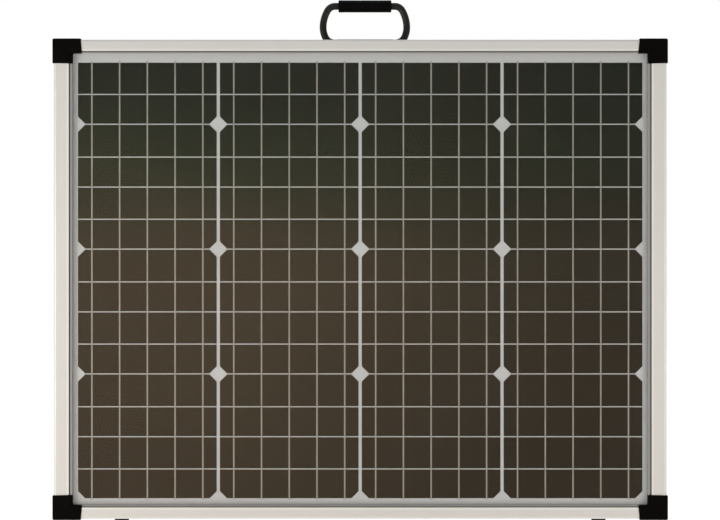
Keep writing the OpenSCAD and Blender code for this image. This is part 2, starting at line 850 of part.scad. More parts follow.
module controller_board() {
    at_controller() translate([-controller_w/2 + 14, 6, -controller_h/2 + 14])
        cube([controller_w - 28, 1.6, controller_h - 28]);
}

// A push button with a flange that keeps it behind the cover
module push_button(x) {
    at_controller() translate([x, controller_depth, button_z]) rotate([-90, 0, 0]) {
        translate([0, 0, -1.5]) cylinder(r = button_r + 1.2, h = 1.5);
        cylinder(r = button_r, h = cover_t + button_proud);
    }
}

module controller_screws() {
    at_controller() translate([0, controller_depth + cover_t, 0]) controller_corners() {
        translate([0, 0, -screw_len]) cylinder(r = screw_r, h = screw_len);
        cylinder(r = screw_head_r, h = screw_head_h);
    }
}

// Outlet gland on the controller's lower wall, with a bore for the output cable
module controller_gland() {
    at_controller() translate([gland_x, controller_depth/2, -controller_h/2]) difference() {
        union() {
            translate([0, 0, -gland_len]) cylinder(r = gland_r, h = gland_len - 4);
            translate([0, 0, -4]) cylinder(r = gland_r + 1.5, h = 4, $fn = 6);
            cylinder(r = gland_r - 1.6, h = 6);
        }
        translate([0, 0, -gland_len - 1]) cylinder(r = gland_bore_r, h = gland_len + 8);
    }
}

// ---- Nodes ----

module rear_stiles() { color("gainsboro") stiles("rear"); }
module rear_rails() { color("gainsboro") rails("rear"); }
module rear_corner_caps() { color("#161412") corner_caps("rear"); }
module rear_glass() { color("lightblue", 0.25) glass("rear"); }
module rear_glass_seal() { color("#30302e") glass_seal("rear"); }
module rear_cells() { color("#332c24") cells("rear"); }
module rear_ribbons() { color("silver") ribbons("rear"); }
module rear_backsheet() { color("#b4b2ae") backsheet("rear"); }
module rear_junction_box() { color("#1b1b1b") junction_box("rear"); }
module rear_junction_lid() { color("#222222") junction_lid("rear"); }
module rear_bypass_diodes() { color("#101010") bypass_diodes("rear"); }
module rear_feet() { color("#181818") feet(rear_foot_x, foot_y); }
module rear_hinge_leaves() { color("silver") hinge_leaves("rear"); }
module rear_hinge_screws() { color("silver") hinge_screws("rear"); }
module front_stiles() { color("gainsboro") stiles("front"); }
module front_rails() { color("gainsboro") rails("front"); }
module front_corner_caps() { color("#161412") corner_caps("front"); }
module front_glass() { color("lightblue", 0.25) glass("front"); }
module front_glass_seal() { color("#30302e") glass_seal("front"); }
module front_cells() { color("#332c24") cells("front"); }
module front_ribbons() { color("silver") ribbons("front"); }
module front_backsheet() { color("#b4b2ae") backsheet("front"); }
module front_junction_box() { color("#1b1b1b") junction_box("front"); }
module front_junction_lid() { color("#222222") junction_lid("front"); }
module front_bypass_diodes() { color("#101010") bypass_diodes("front"); }
module front_feet() { color("#181818") feet(front_foot_x, -foot_y); }
module front_hinge_leaves() { color("silver") hinge_leaves("front"); }
module front_hinge_screws() { color("silver") hinge_screws("front"); }
module latch_screws() { color("silver") pan_screws(latch_screw_places("rear"), 1, latch_plate_t); }
module keeper_screws() { color("silver") pan_screws(latch_screw_places("front"), -1, latch_plate_t); }

rear_stiles();
rear_rails();
rear_corner_caps();
rear_glass();
rear_glass_seal();
rear_cells();
rear_ribbons();
rear_backsheet();
rear_junction_box();
rear_junction_lid();
rear_bypass_diodes();
rear_feet();
rear_hinge_leaves();
color("silver") hinge_pins();
rear_hinge_screws();
front_stiles();
front_rails();
front_corner_caps();
front_glass();
front_glass_seal();
front_cells();
front_ribbons();
front_backsheet();
front_junction_box();
front_junction_lid();
front_bypass_diodes();
front_feet();
front_hinge_leaves();
front_hinge_screws();
color("#202020") handle_plate();
color("silver") handle_screws();
color("#2c2c2c") handle_bail();
color("#101010") handle_grip();
color("silver") latch_bases();
color("silver") latch_pins();
latch_screws();
color("silver") latch_keepers();
keeper_screws();
color("silver") on_stile_face("left") latch_lever();  // left_latch_lever
color("silver") on_stile_face("right") latch_lever();  // right_latch_lever
color("silver") on_stile_face("left") latch_loop();  // left_latch_loop
color("silver") on_stile_face("right") latch_loop();  // right_latch_loop
color("silver") stand_brackets("rear");  // rear_stand_brackets
color("silver") stand_bolts("rear");  // rear_stand_bolts
color("gainsboro") stand_arms("rear");  // rear_stand_arms
color("gainsboro") stand_bar("rear");  // rear_stand_bar
color("silver") stand_brackets("front");  // front_stand_brackets
color("silver") stand_bolts("front");  // front_stand_bolts
color("gainsboro") stand_arms("front");  // front_stand_arms
color("gainsboro") stand_bar("front");  // front_stand_bar
color("#2a2a2c") controller_case();
color("#303032") controller_cover();
color("#8fa08a") controller_display();
color("#1f5c33") controller_board();
color("#d0d0d0") push_button(button_x[0]);  // menu_button
color("#c06030") push_button(button_x[1]);  // load_button
color("silver") controller_screws();
color("#101010") controller_gland();
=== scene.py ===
"""Builds the looks of a folding solar suitcase round its packed frame.

Every length is in metres. X runs along the case, Y through its thickness with the front panel at
negative Y, and Z up from the level its feet stand on. Each operator makes one piece or one group
of like pieces.
"""
import json

import bmesh
import bpy
import mathutils
import numpy as np
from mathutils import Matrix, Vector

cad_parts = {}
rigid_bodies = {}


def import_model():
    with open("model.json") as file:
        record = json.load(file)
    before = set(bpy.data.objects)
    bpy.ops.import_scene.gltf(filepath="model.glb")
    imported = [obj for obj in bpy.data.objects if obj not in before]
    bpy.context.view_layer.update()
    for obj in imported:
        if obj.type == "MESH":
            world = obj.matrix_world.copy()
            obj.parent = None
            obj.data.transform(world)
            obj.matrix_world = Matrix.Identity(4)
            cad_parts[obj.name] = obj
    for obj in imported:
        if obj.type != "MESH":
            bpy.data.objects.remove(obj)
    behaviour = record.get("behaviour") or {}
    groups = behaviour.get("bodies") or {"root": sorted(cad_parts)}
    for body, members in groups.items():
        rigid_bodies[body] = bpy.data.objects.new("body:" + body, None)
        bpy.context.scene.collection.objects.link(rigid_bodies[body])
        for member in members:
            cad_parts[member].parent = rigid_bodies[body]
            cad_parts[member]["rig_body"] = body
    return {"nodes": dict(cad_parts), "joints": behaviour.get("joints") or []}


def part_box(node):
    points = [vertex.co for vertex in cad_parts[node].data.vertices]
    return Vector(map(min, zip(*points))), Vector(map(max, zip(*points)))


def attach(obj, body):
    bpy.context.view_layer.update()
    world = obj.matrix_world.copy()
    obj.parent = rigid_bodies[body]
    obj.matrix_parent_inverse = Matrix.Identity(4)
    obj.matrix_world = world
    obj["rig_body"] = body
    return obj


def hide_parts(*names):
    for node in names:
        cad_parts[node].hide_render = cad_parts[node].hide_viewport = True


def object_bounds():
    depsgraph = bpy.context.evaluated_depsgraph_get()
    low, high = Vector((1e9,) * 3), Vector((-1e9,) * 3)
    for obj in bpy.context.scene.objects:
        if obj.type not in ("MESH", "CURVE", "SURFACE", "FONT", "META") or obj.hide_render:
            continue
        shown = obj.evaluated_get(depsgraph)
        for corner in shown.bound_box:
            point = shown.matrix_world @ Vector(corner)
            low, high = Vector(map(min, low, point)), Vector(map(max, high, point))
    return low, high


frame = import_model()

bl_info = {
    "name": "Folding Solar Suitcase",
    "version": (1, 0, 0),
    "blender": (4, 5, 0),
    "location": "View3D > Sidebar > Solar Case",
    "description": "Makes the finished pieces of a folding solar suitcase on its frame",
    "category": "Add Mesh",
}

MM = 0.001
TURN = 2 * np.pi
CAD_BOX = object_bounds()
SIDES = {"front": -1.0, "rear": 1.0}


# ---- Places worked out from the frame ----

def low_high(node):
    """Lowest and highest corner of a frame node, as two arrays."""
    low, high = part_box(node)
    return np.array(low), np.array(high)


def pivot_of(joint):
    """Anchor point of a joint, as an array."""
    for entry in frame["joints"]:
        if entry["name"] == joint:
            return np.array(entry["pos_m"], float)
    raise ValueError(f"the frame has no joint named {joint}")


# ---- Shapes as arrays of points ----

def rounded_outline(corners, radii, steps=6):
    """Closed outline through 2-D corners, each one cut by an arc that touches both its sides.

    For a corner with half angle a between its sides, the arc of radius r starts r / tan(a) along
    each side, and its centre lies r / sin(a) from the corner along the bisector.
    """
    corners = np.asarray(corners, float)
    radii = np.broadcast_to(np.asarray(radii, float), len(corners))
    back = np.roll(corners, 1, 0) - corners
    ahead = np.roll(corners, -1, 0) - corners
    back /= np.linalg.norm(back, axis=1, keepdims=True)
    ahead /= np.linalg.norm(ahead, axis=1, keepdims=True)
    half = 0.5 * np.arccos(np.clip((back * ahead).sum(1), -1, 1))
    middle = back + ahead
    middle /= np.maximum(np.linalg.norm(middle, axis=1, keepdims=True), 1e-12)
    centre = corners + middle * (radii / np.sin(half))[:, None]
    first = corners + back * (radii / np.tan(half))[:, None] - centre
    last = corners + ahead * (radii / np.tan(half))[:, None] - centre
    start = np.arctan2(first[:, 1], first[:, 0])
    sweep = np.arctan2(last[:, 1], last[:, 0]) - start
    sweep = (sweep + np.pi) % TURN - np.pi
    angle = start[:, None] + sweep[:, None] * np.linspace(0, 1, steps)[None, :]
    arc = np.stack([np.cos(angle), np.sin(angle)], -1) * radii[:, None, None]
    return (centre[:, None, :] + arc).reshape(-1, 2)


def box_outline(width, height, radius, steps=6):
    """Rounded rectangle about the origin, anticlockwise."""
    w, h = width / 2, height / 2
    return rounded_outline([(-w, -h), (w, -h), (w, h), (-w, h)], radius, steps)


def circle_outline(radius, steps=32):
    """Points of a circle, radius * (cos t, sin t)."""
    t = np.arange(steps) * TURN / steps
    return radius * np.stack([np.cos(t), np.sin(t)], -1)


def shrink(outline, inset):
    """Outline moved inwards: each point goes inset along the mean of its two sides' normals."""
    side = np.roll(outline, -1, 0) - outline
    normal = np.stack([-side[:, 1], side[:, 0]], -1)
    normal /= np.maximum(np.linalg.norm(normal, axis=1, keepdims=True), 1e-12)
    mean = normal + np.roll(normal, 1, 0)
    mean /= np.maximum((mean * mean).sum(1, keepdims=True) / 2, 1e-12)
    return outline + inset * mean


def eased_edge(depth, radius, steps=5):
    """Levels and insets of a block whose two rims are rounded by quarter circles.

    At an angle t from the rim the level is r * (1 - cos t) in from the end, and the inset is
    r * (1 - sin t).
    """
    t = np.linspace(0, np.pi / 2, steps)
    level = radius * (1 - np.cos(t))
    inset = radius * (1 - np.sin(t))
    return np.concatenate([level, depth - level[::-1]]), np.concatenate([inset, inset[::-1]])


def stacked(outline, levels, insets):
    """Block as a function of outline place and level: the outline, shrunk by each level's inset."""
    rows = [np.column_stack([shrink(outline, inset), np.full(len(outline), level)])
            for level, inset in zip(levels, insets)]
    return np.stack(rows)


def eased_block(outline, depth, radius, steps=5):
    """Block of an outline with both rims rounded as eased_edge does."""
    return stacked(outline, *eased_edge(depth, radius, steps))


def carried(profile, path, across, upward):
    """Profile carried along a path: point + profile_u * across + profile_v * upward."""
    return (path[:, None, :] + profile[None, :, 0, None] * across[:, None, :]
            + profile[None, :, 1, None] * upward[:, None, :])


def turned(radii, heights, steps=40):
    """Surface of revolution about +Z: (r(v) cos t, r(v) sin t, h(v))."""
    t = np.arange(steps) * TURN / steps
    r, h = np.asarray(radii, float)[:, None], np.asarray(heights, float)[:, None]
    return np.stack([r * np.cos(t), r * np.sin(t), h + 0 * t], -1)


def set_axes(points, x_to, y_to, z_to, place):
    """Points with their x, y and z laid along three directions from a place."""
    basis = np.array([x_to, y_to, z_to], float)
    return points @ basis + np.asarray(place, float)


def standing(points, place, facing=1.0):
    """Points stood upright at a place, with their z running towards the case's seam side."""
    return set_axes(points, (1, 0, 0), (0, 0, 1), (0, -facing, 0), place)


def rounded_path(corners, radii, steps=16):
    """Open path in the XZ plane through corners, each inner one rounded as rounded_outline does."""
    corners = np.asarray(corners, float)
    outline = rounded_outline(corners, np.r_[0, radii, 0], steps).reshape(len(corners), steps, 2)
    inner = outline[1:-1].reshape(-1, 2)
    return np.vstack([corners[:1], inner, corners[-1:]])


def level_frames(path, normal):
    """Directions across and upward at each point of a flat path whose plane has this normal."""
    along = np.gradient(path, axis=0)
    along /= np.linalg.norm(along, axis=1, keepdims=True)
    across = np.cross(along, normal)
    return across, np.broadcast_to(np.asarray(normal, float), path.shape)


# ---- Arrays into Blender ----

def skin_faces(rows, columns):
    """Quads between neighbouring rows and columns; the columns wrap round."""
    r = np.arange(rows - 1)[:, None]
    c = np.arange(columns)[None, :]
    low, high = r * columns, (r + 1) * columns
    right = (c + 1) % columns
    return np.stack([low + c, low + right, high + right, high + c], -1).reshape(-1, 4)


def outward(points, quads, ends):
    """Faces in the order that points them outwards, from the sign of the volume they enclose."""
    a, b, c, d = (points[quads[:, k]] for k in range(4))
    volume = (a * np.cross(b, c)).sum() + (a * np.cross(c, d)).sum()
    for end in ends:
        p = points[end]
        volume += (p[0] * np.cross(p[1:-1], p[2:])).sum()
    if volume < 0:
        return quads[:, ::-1], [end[::-1] for end in ends]
    return quads, ends


def put_mesh(name, skins, material, *nodes, added=False):
    """Object made of skins, each an array [row, column, xyz], in place of frame nodes or added."""
    points, sizes, corners, base = [], [], [], 0
    for skin in skins:
        rows, columns = skin.shape[:2]
        flat = skin.reshape(-1, 3)
        quads = skin_faces(rows, columns)
        ring = np.arange(columns)
        ends = [ring[::-1], ring + (rows - 1) * columns]
        quads, ends = outward(flat - flat.mean(0), quads, ends)
        points.append(flat)
        sizes += [np.full(len(quads), 4)] + [np.array([len(end)]) for end in ends]
        corners += [quads.reshape(-1) + base] + [end + base for end in ends]
        base += len(flat)
    points, sizes, corners = (np.concatenate(part) for part in (points, sizes, corners))
    mesh = bpy.data.meshes.new(name)
    mesh.vertices.add(len(points))
    mesh.vertices.foreach_set("co", points.astype(np.float32).reshape(-1))
    mesh.loops.add(len(corners))
    mesh.loops.foreach_set("vertex_index", corners.astype(np.int32))
    mesh.polygons.add(len(sizes))
    mesh.polygons.foreach_set("loop_start", (np.cumsum(sizes) - sizes).astype(np.int32))
    mesh.update(calc_edges=True)
    mesh.validate()
    mesh.shade_smooth()
    mesh.set_sharp_from_angle(angle=np.radians(32))
    return settle(bpy.data.objects.new(name, mesh), material, nodes, added)


def settle(piece, material, nodes, added=False):
    """Gives a piece its material and a frame node's body, and hides the nodes it stands for unless it
    is added.
    """
    bpy.context.scene.collection.objects.link(piece)
    piece.data.materials.clear()
    piece.data.materials.append(material)
    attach(piece, frame["nodes"][nodes[0]]["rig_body"])
    if not added:
        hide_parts(*nodes)
    return piece


def softened(node, name, material, width=0.3 * MM):
    """Copy of a frame node, its loose triangles merged and its edges rounded by a bevel."""
    mesh = frame["nodes"][node].data.copy()
    mesh.name = name
    work = bmesh.new()
    work.from_mesh(mesh)
    bmesh.ops.remove_doubles(work, verts=work.verts, dist=1e-6)
    work.to_mesh(mesh)
    work.free()
    piece = settle(bpy.data.objects.new(name, mesh), material, (node,))
    bevel = piece.modifiers.new("rounded_edges", "BEVEL")
    bevel.width, bevel.segments = width, 2
    bevel.limit_method, bevel.angle_limit = "ANGLE", np.radians(40)
    bevel.use_clamp_overlap = True
    return piece


# ---- Finishes ----

def joined_by(operation):
    """Method that joins a wire and another value by a Math node."""
    return lambda wire, other: wire.finish.math(operation, wire, other)


class Wire:
    """A socket in a sum: arithmetic on wires adds the Math nodes that work it out.

    wire % pitch is how far along its pitch the value is, from 0 to 1.
    """

    def __init__(self, finish, socket):
        self.finish, self.socket = finish, socket

    def __rsub__(self, other):
        return self.finish.math("SUBTRACT", other, self)

    def __mod__(self, pitch):
        return self.finish.math("FRACT", self / pitch)

    def __abs__(self):
        return self.finish.math("ABSOLUTE", self)

    __add__ = __radd__ = joined_by("ADD")
    __mul__ = __rmul__ = joined_by("MULTIPLY")
    __sub__, __truediv__ = joined_by("SUBTRACT"), joined_by("DIVIDE")
    __lt__, __gt__ = joined_by("LESS_THAN"), joined_by("GREATER_THAN")


class Wiring:
    """The node tree of a material or a world while it is being wired to its shader."""

    def __init__(self, block, shader):
        block.use_nodes = True
        self.tree = block.node_tree
        self.shader = self.tree.nodes[shader]

    def feed(self, node, sockets):
        """Sets or links sockets of a node."""
        for key, value in sockets.items():
            if isinstance(value, Wire):
                self.tree.links.new(value.socket, node.inputs[key])
            else:
                node.inputs[key].default_value = value

    def node(self, kind, settings=None, sockets=None, output=0):
        """Adds a node: its settings first, then its sockets. Returns one of its outputs."""
        node = self.tree.nodes.new(kind)
        for key, value in (settings or {}).items():
            if key == "stops":
                ramp = node.color_ramp
                ramp.elements.remove(ramp.elements[1])
                ramp.elements[0].position, ramp.elements[0].color = value[0]
                for place, colour in value[1:]:
                    ramp.elements.new(place).color = colour
            else:
                setattr(node, key, value)
        self.feed(node, sockets or {})
        return Wire(self, node.outputs[output])

    def math(self, operation, *values):
        """Adds one Math node."""
        return self.node("ShaderNodeMath", {"operation": operation}, dict(enumerate(values)))

    def place(self, scale=(1, 1, 1)):
        """Object coordinates stretched by a scale along each axis."""
        spot = self.node("ShaderNodeTexCoord", output="Object")
        return self.node("ShaderNodeMapping", {}, {"Vector": spot, "Scale": scale})

    def split(self, vector):
        """The three parts of a vector."""
        first = self.node("ShaderNodeSeparateXYZ", {}, {"Vector": vector})
        parts = first.socket.node.outputs
        return [Wire(self, part) for part in parts]

    def noise(self, spot, scale, detail=2.0, rough=0.5):
        """Noise between 0 and 1 at a place."""
        sockets = {"Vector": spot, "Scale": scale, "Detail": detail, "Roughness": rough}
        return self.node("ShaderNodeTexNoise", {}, sockets)

    def spread(self, value, low, high, to_low, to_high):
        """Value carried from one range onto another, and held at its ends."""
        sockets = {"Value": value, "From Min": low, "From Max": high,
                   "To Min": to_low, "To Max": to_high}
        return self.node("ShaderNodeMapRange", {"clamp": True}, sockets)

    def mix(self, factor, first, second):
        """Colour between two colours."""
        colours = {"Factor": factor, 6: first, 7: second}
        return self.node("ShaderNodeMix", {"data_type": "RGBA"}, colours, output=2)


class Finish(Wiring):
    """A material while it is being wired to a Principled shader."""

    def __init__(self, name, **constants):
        self.material = bpy.data.materials.new(name)
        super().__init__(self.material, "Principled BSDF")
        self.done(**constants)

    def bump(self, height, distance, strength=1.0):
        """Feeds the shader's normal with a height, in metres at a height of 1."""
        sockets = {"Height": height, "Distance": distance, "Strength": strength}
        self.feed(self.shader, {"Normal": self.node("ShaderNodeBump", {}, sockets)})

    def done(self, **sockets):
        """Feeds the shader's sockets, written with _ for a space, and returns the material."""
        self.feed(self.shader, {key.replace("_", " "): value for key, value in sockets.items()})
        return self.material


def shade(colour, factor):
    """A colour made lighter or darker, as four numbers."""
    return tuple(float(part) * factor for part in colour[:3]) + (1.0,)


def anodised(name, colour, along, metallic, roughness, bar=None):
    """Extruded, etched and anodised aluminium: fine die lines along one axis, handling marks, and on a
    frame bar painted highlight and painted shade bands.
    """
    finish = Finish(name, Metallic=metallic, IOR=1.5)
    stretch = [1400.0, 1400.0, 1400.0]
    stretch[along] = 6.0
    lines = finish.noise(finish.place(tuple(stretch)), 1.0, 3.0, 0.6)
    marks = finish.noise(finish.place(), 14.0, 4.0, 0.55)
    grit = finish.noise(finish.place(), 3000.0, 1.0)
    tone = finish.mix(lines, shade(colour, 0.93), shade(colour, 1.04))
    wear_and_painted_light = finish.mix(finish.spread(marks, 0.55, 0.8, 0.0, 0.5), tone, shade(colour, 0.9))
    # On a frame bar, a painted highlight and painted shade bands are laid over the handling marks.
    if bar:
        wear_and_painted_light = bar_painted_light(finish, wear_and_painted_light, colour, bar)
    finish.bump(lines * 0.7 + grit * 0.3, 0.02 * MM, 0.6)
    return finish.done(Base_Color=wear_and_painted_light, Roughness=lines * 0.08 + marks * 0.14 + (roughness - 0.11))


def bar_painted_light(finish, tone, colour, bar):
    """Bands painted along a frame bar's front: a painted highlight along the face's inner rim, painted
    shade in the groove and painted shade on the inner lip.

    Each is a band of distance inwards from the bar's outer edge, on the bar's front.
    """
    axis, centre, edge, face, groove, lip, back = bar
    parts = finish.split(finish.place())
    inwards = edge - abs(parts[axis] - centre)
    front = abs(parts[1]) > back
    # Painted highlight: a pale band along the face's inner rim stands for light caught by its rounded
    # edge.
    painted_edge_highlight = finish.spread(inwards, face - 3.2 * MM, face - 1.6 * MM, 0.0, 1.0) * (inwards < face)
    highlighted_tone = finish.mix(painted_edge_highlight * front * 0.55, tone, (0.93, 0.92, 0.88, 1))
    # Painted shade: the groove is darkened to stand for its shadow.
    groove_shaded_tone = finish.mix((inwards > face) * (inwards < face + groove) * front, highlighted_tone,
                         shade(colour, 0.16))
    # Painted shade: the inner lip is darkened as if it lay in shade.
    painted_lip_shade = (inwards > face + groove) * (inwards < face + groove + lip) * front
    return finish.mix(painted_lip_shade, groove_shaded_tone, shade(colour, 0.42))


def moulded(name, colour, roughness, specular=0.5, grain=0.03, grain_scale=1500.0):
    """Moulded plastic or rubber: a leathery grain, dull scuffs and a trace of dust."""
    finish = Finish(name, IOR=1.48, Specular_IOR_Level=specular)
    cell = finish.node("ShaderNodeTexVoronoi", {"feature": "SMOOTH_F1"},
                       {"Vector": finish.place(), "Scale": grain_scale})
    fine = finish.noise(finish.place(), grain_scale * 2.3, 2.0)
    scuff = finish.noise(finish.place(), 35.0, 5.0, 0.6)
    dust = finish.spread(scuff, 0.52, 0.75, 0.0, 1.0)
    finish.bump(cell * 0.6 + fine * 0.4, grain * MM, 0.7)
    tone = finish.mix(dust, shade(colour, 0.9), shade(colour, 1.35))
    return finish.done(Base_Color=tone, Roughness=dust * 0.12 + fine * 0.06 + (roughness - 0.05))


def plated(name, colour, roughness, lay=(900.0, 900.0, 900.0)):
    """Zinc or nickel plated steel: a faint lay from rolling, cloudy passivation and small pits."""
    finish = Finish(name, Metallic=1.0)
    cloud = finish.noise(finish.place(), 60.0, 3.0, 0.6)
    lines = finish.noise(finish.place(lay), 1.0, 2.0)
    pits = finish.spread(finish.noise(finish.place(), 900.0, 2.0), 0.3, 0.42, 0.0, 1.0)
    tone = finish.mix(cloud, shade(colour, 0.82), shade(colour, 1.08))
    finish.bump(lines * 0.5 + pits * 0.5, 0.015 * MM, 0.6)
    return finish.done(Base_Color=tone, Roughness=cloud * 0.16 + lines * 0.06 + (roughness - 0.1))


def coated(name, colour, roughness):
    """Powder-coated steel: orange-peel skin, rubbed a little brighter in patches."""
    finish = Finish(name, Coat_Weight=0.05, Coat_Roughness=0.3, Specular_IOR_Level=0.25)
    peel = finish.noise(finish.place(), 650.0, 1.5, 0.4)
    rub = finish.spread(finish.noise(finish.place(), 45.0, 4.0, 0.6), 0.5, 0.72, 0.0, 1.0)
    finish.bump(peel, 0.06 * MM, 0.5)
    tone = finish.mix(rub, shade(colour, 0.92), shade(colour, 1.3))
    return finish.done(Base_Color=tone, Roughness=roughness - 0.06 * rub + 0.08 * peel)


# The clear bonding layer in front of cells, ribbons and film, as a coat over each of them
UNDER_GLASS = {"Coat_Weight": 1.0, "Coat_Roughness": 0.1, "Coat_IOR": 1.6}
# Distance from the seam to the middle of the film, whose outer face only is bonded
FILM_MIDDLE = 29.8 * MM


def laminate_glass(name, roughness):
    """Low-iron glass in front of the cells: a clear sheet that only mirrors, more at a slant.

    Its opacity is the share of light that a glass surface sends back at each angle.
    """
    finish = Finish(name, Metallic=1.0, Roughness=roughness)
    film = finish.noise(finish.place(), 26.0, 4.0, 0.6)
    sent_back = finish.node("ShaderNodeFresnel", {}, {"IOR": 1.5})
    tint = finish.mix(film, (0.93, 0.96, 0.94, 1), (1.0, 1.0, 0.98, 1))
    return finish.done(Base_Color=tint, Alpha=sent_back * 0.2)


def silicon(name, colour):
    """Etched dark cells: random tone from strip to strip, sparkle of the etch, and silver fingers."""
    finish = Finish(name, IOR=1.6, Roughness=0.42, Specular_IOR_Level=0.05, **UNDER_GLASS)
    spot = finish.place()
    height = finish.split(spot)[2]
    patch = finish.noise(finish.place((5.0, 1.0, 9.0)), 1.0, 1.0)
    etch = finish.noise(spot, 2600.0, 1.0, 0.5)
    finger = abs(height % (1.55 * MM) - 0.5) < 0.035
    varied = finish.spread(patch, 0.35, 0.65, 0.0, 1.0)
    tone = finish.mix(varied, shade(colour, 0.82), shade(colour, 1.2))
    crystal = finish.mix(etch * 0.2, tone, shade(colour, 1.4))
    lined = finish.mix(finger * 0.10, crystal, (0.35, 0.34, 0.32, 1))
    return finish.done(Base_Color=lined)


def tinned(name, colour):
    """Flat solder-dipped copper: soft blobs along its length and a dull skin."""
    finish = Finish(name, Metallic=0.25, **UNDER_GLASS)
    blobs = finish.noise(finish.place((300.0, 300.0, 55.0)), 1.0, 3.0, 0.6)
    tone = finish.mix(blobs, shade(colour, 0.74), shade(colour, 1.12))
    finish.bump(blobs, 0.06 * MM, 0.7)
    return finish.done(Base_Color=tone, Roughness=blobs * 0.2 + 0.32)


def film(name, colour):
    """Backsheet film: the print of the cloth it was pressed against, and slight yellowing."""
    finish = Finish(name, IOR=1.46, Roughness=0.55, Coat_Roughness=0.1, Coat_IOR=1.6)
    spot = finish.place()
    x, y, z = finish.split(spot)
    pitch = TURN / (0.9 * MM)
    cloth = finish.math("SINE", x * pitch) * finish.math("SINE", z * pitch)
    age = finish.noise(spot, 7.0, 3.0)
    yellowed = tuple(np.array(shade(colour, 1.04)) * (1, 0.99, 0.96, 1))
    tone = finish.mix(age, shade(colour, 0.95), yellowed)
    finish.bump(cloth * 0.5 + 0.5, 0.03 * MM, 0.5)
    return finish.done(Base_Color=tone, Coat_Weight=abs(y) > FILM_MIDDLE)


def lcd(name, colour, centre, size):
    """Liquid-crystal window: a green-grey ground, five charge bars in an outline and a fine grid."""
    finish = Finish(name, IOR=1.5, Roughness=0.12, Coat_Weight=0.6, Coat_Roughness=0.04)
    x, _, z = finish.split(finish.place())
    u, v = (x - centre[0]) / size[0], (z - centre[2]) / size[2]
    inside = (abs(u) < 0.34) * (abs(v) < 0.26)
    outline = (abs(u) < 0.37) * (abs(v) < 0.32) * (1 - (abs(u) < 0.355) * (abs(v) < 0.295))
    bars = (u % 0.137 > 0.28) * inside * (u < 0.2)
    ink = finish.math("MINIMUM", bars + outline, 1.0)
    grid = x % (0.5 * MM) > 0.9
    cloud = finish.noise(finish.place(), 40.0, 3.0)
    ground = finish.mix(cloud, shade(colour, 0.92), shade(colour, 1.08))
    inked = finish.mix(ink * 0.88, ground, (0.02, 0.025, 0.02, 1))
    return finish.done(Base_Color=finish.mix(grid * 0.1, inked, (0.1, 0.1, 0.1, 1)))


def solder_mask(name, colour):
    """Circuit board: copper tracks under a green mask, and bright pads."""
    finish = Finish(name, IOR=1.5, Roughness=0.3)
    x, _, z = finish.split(finish.place())
    lane, other = x % (2.5 * MM), z % (3.1 * MM)
    wander = finish.noise(finish.place(), 120.0, 1.0)
    track = (abs(lane - 0.5) < 0.12) * (wander > 0.5)
    pad = (abs(lane - 0.5) < 0.2) * (abs(other - 0.5) < 0.2) * (wander < 0.42)
    tracked = finish.mix(track * 0.5, colour, shade(colour, 1.8))
    return finish.done(Base_Color=finish.mix(pad, tracked, (0.7, 0.66, 0.55, 1)), Metallic=pad)


def dress(material, *nodes):
    """Gives frame nodes that are shown as they are a finish."""
    for node in nodes:
        piece = frame["nodes"][node]
        piece.data.materials.clear()
        piece.data.materials.append(material)


# ---- Sizes and colours a user would change ----

def colour_of(name, description, value):
    """Colour property with its three parts between 0 and 1."""
    return bpy.props.FloatVectorProperty(name=name, description=description, default=value,
                                         size=3, min=0.0, max=1.0, subtype="COLOR")


def length_of(name, description, value, low=0.0, high=1.0):
    """Length property in metres."""
    return bpy.props.FloatProperty(name=name, description=description, default=value,
                                   min=low, max=high, precision=4, unit="LENGTH")


def share_of(name, description, value, high=1.0):
    """Plain number property."""
    return bpy.props.FloatProperty(name=name, description=description, default=value,
                                   min=0.0, max=high, precision=3, subtype="FACTOR")


def angle_of(name, description, degrees):
    """Angle property."""
    return bpy.props.FloatProperty(name=name, description=description, subtype="ANGLE", min=0.05,
                                   max=1.5, default=float(np.radians(degrees)))


class SolarCaseFrame(bpy.types.PropertyGroup):
    """Frame bars and corner caps."""
    aluminium: colour_of("Aluminium", "Colour of the anodised bars", (0.745, 0.735, 0.725))
    bar_metal: share_of("Bar metal", "How much the bars mirror like bare metal", 0.25)
    bar_roughness: share_of("Bar roughness", "Roughness of the anodised skin", 0.42)
    # The face, groove and lip widths place the painted highlight and the painted shade bands on the
    # bars' fronts.
    face_upright: length_of("Upright face", "Width of an upright bar's face", 17.2 * MM)
    groove_upright: length_of("Upright groove", "Width of the groove beside that face", 1.4 * MM)
    lip_upright: length_of("Upright lip", "Width of the lip that holds the glass", 2.2 * MM)
    face_level: length_of("Level face", "Width of a level bar's face", 13.1 * MM)
    groove_level: length_of("Level groove", "Width of the groove beside that face", 1.1 * MM)
    lip_level: length_of("Level lip", "Width of the lip that holds the glass", 1.1 * MM)
    lip_depth: length_of("Lip depth", "How deep the groove's and lip's shading reaches", 2.3 * MM)
    cap: colour_of("Cap", "Colour of the moulded corner caps", (0.0032, 0.0029, 0.0026))
    cap_reach: length_of("Cap reach", "Length of a cap along the level bar", 33.2 * MM)
    cap_rise: length_of("Cap rise", "Length of a cap along the upright bar", 28.2 * MM)
    cap_face_upright: length_of("Cap upright face", "Width of a cap over the upright bar", 21.8 * MM)
    cap_face_level: length_of("Cap level face", "Width of a cap over the level bar", 16.3 * MM)
    cap_lean: length_of("Cap lean", "How far the caps' ends slant back at the outer edge", 1.6 * MM)
    cap_round: length_of("Cap rounding", "Rounding of the caps' rims", 0.6 * MM)


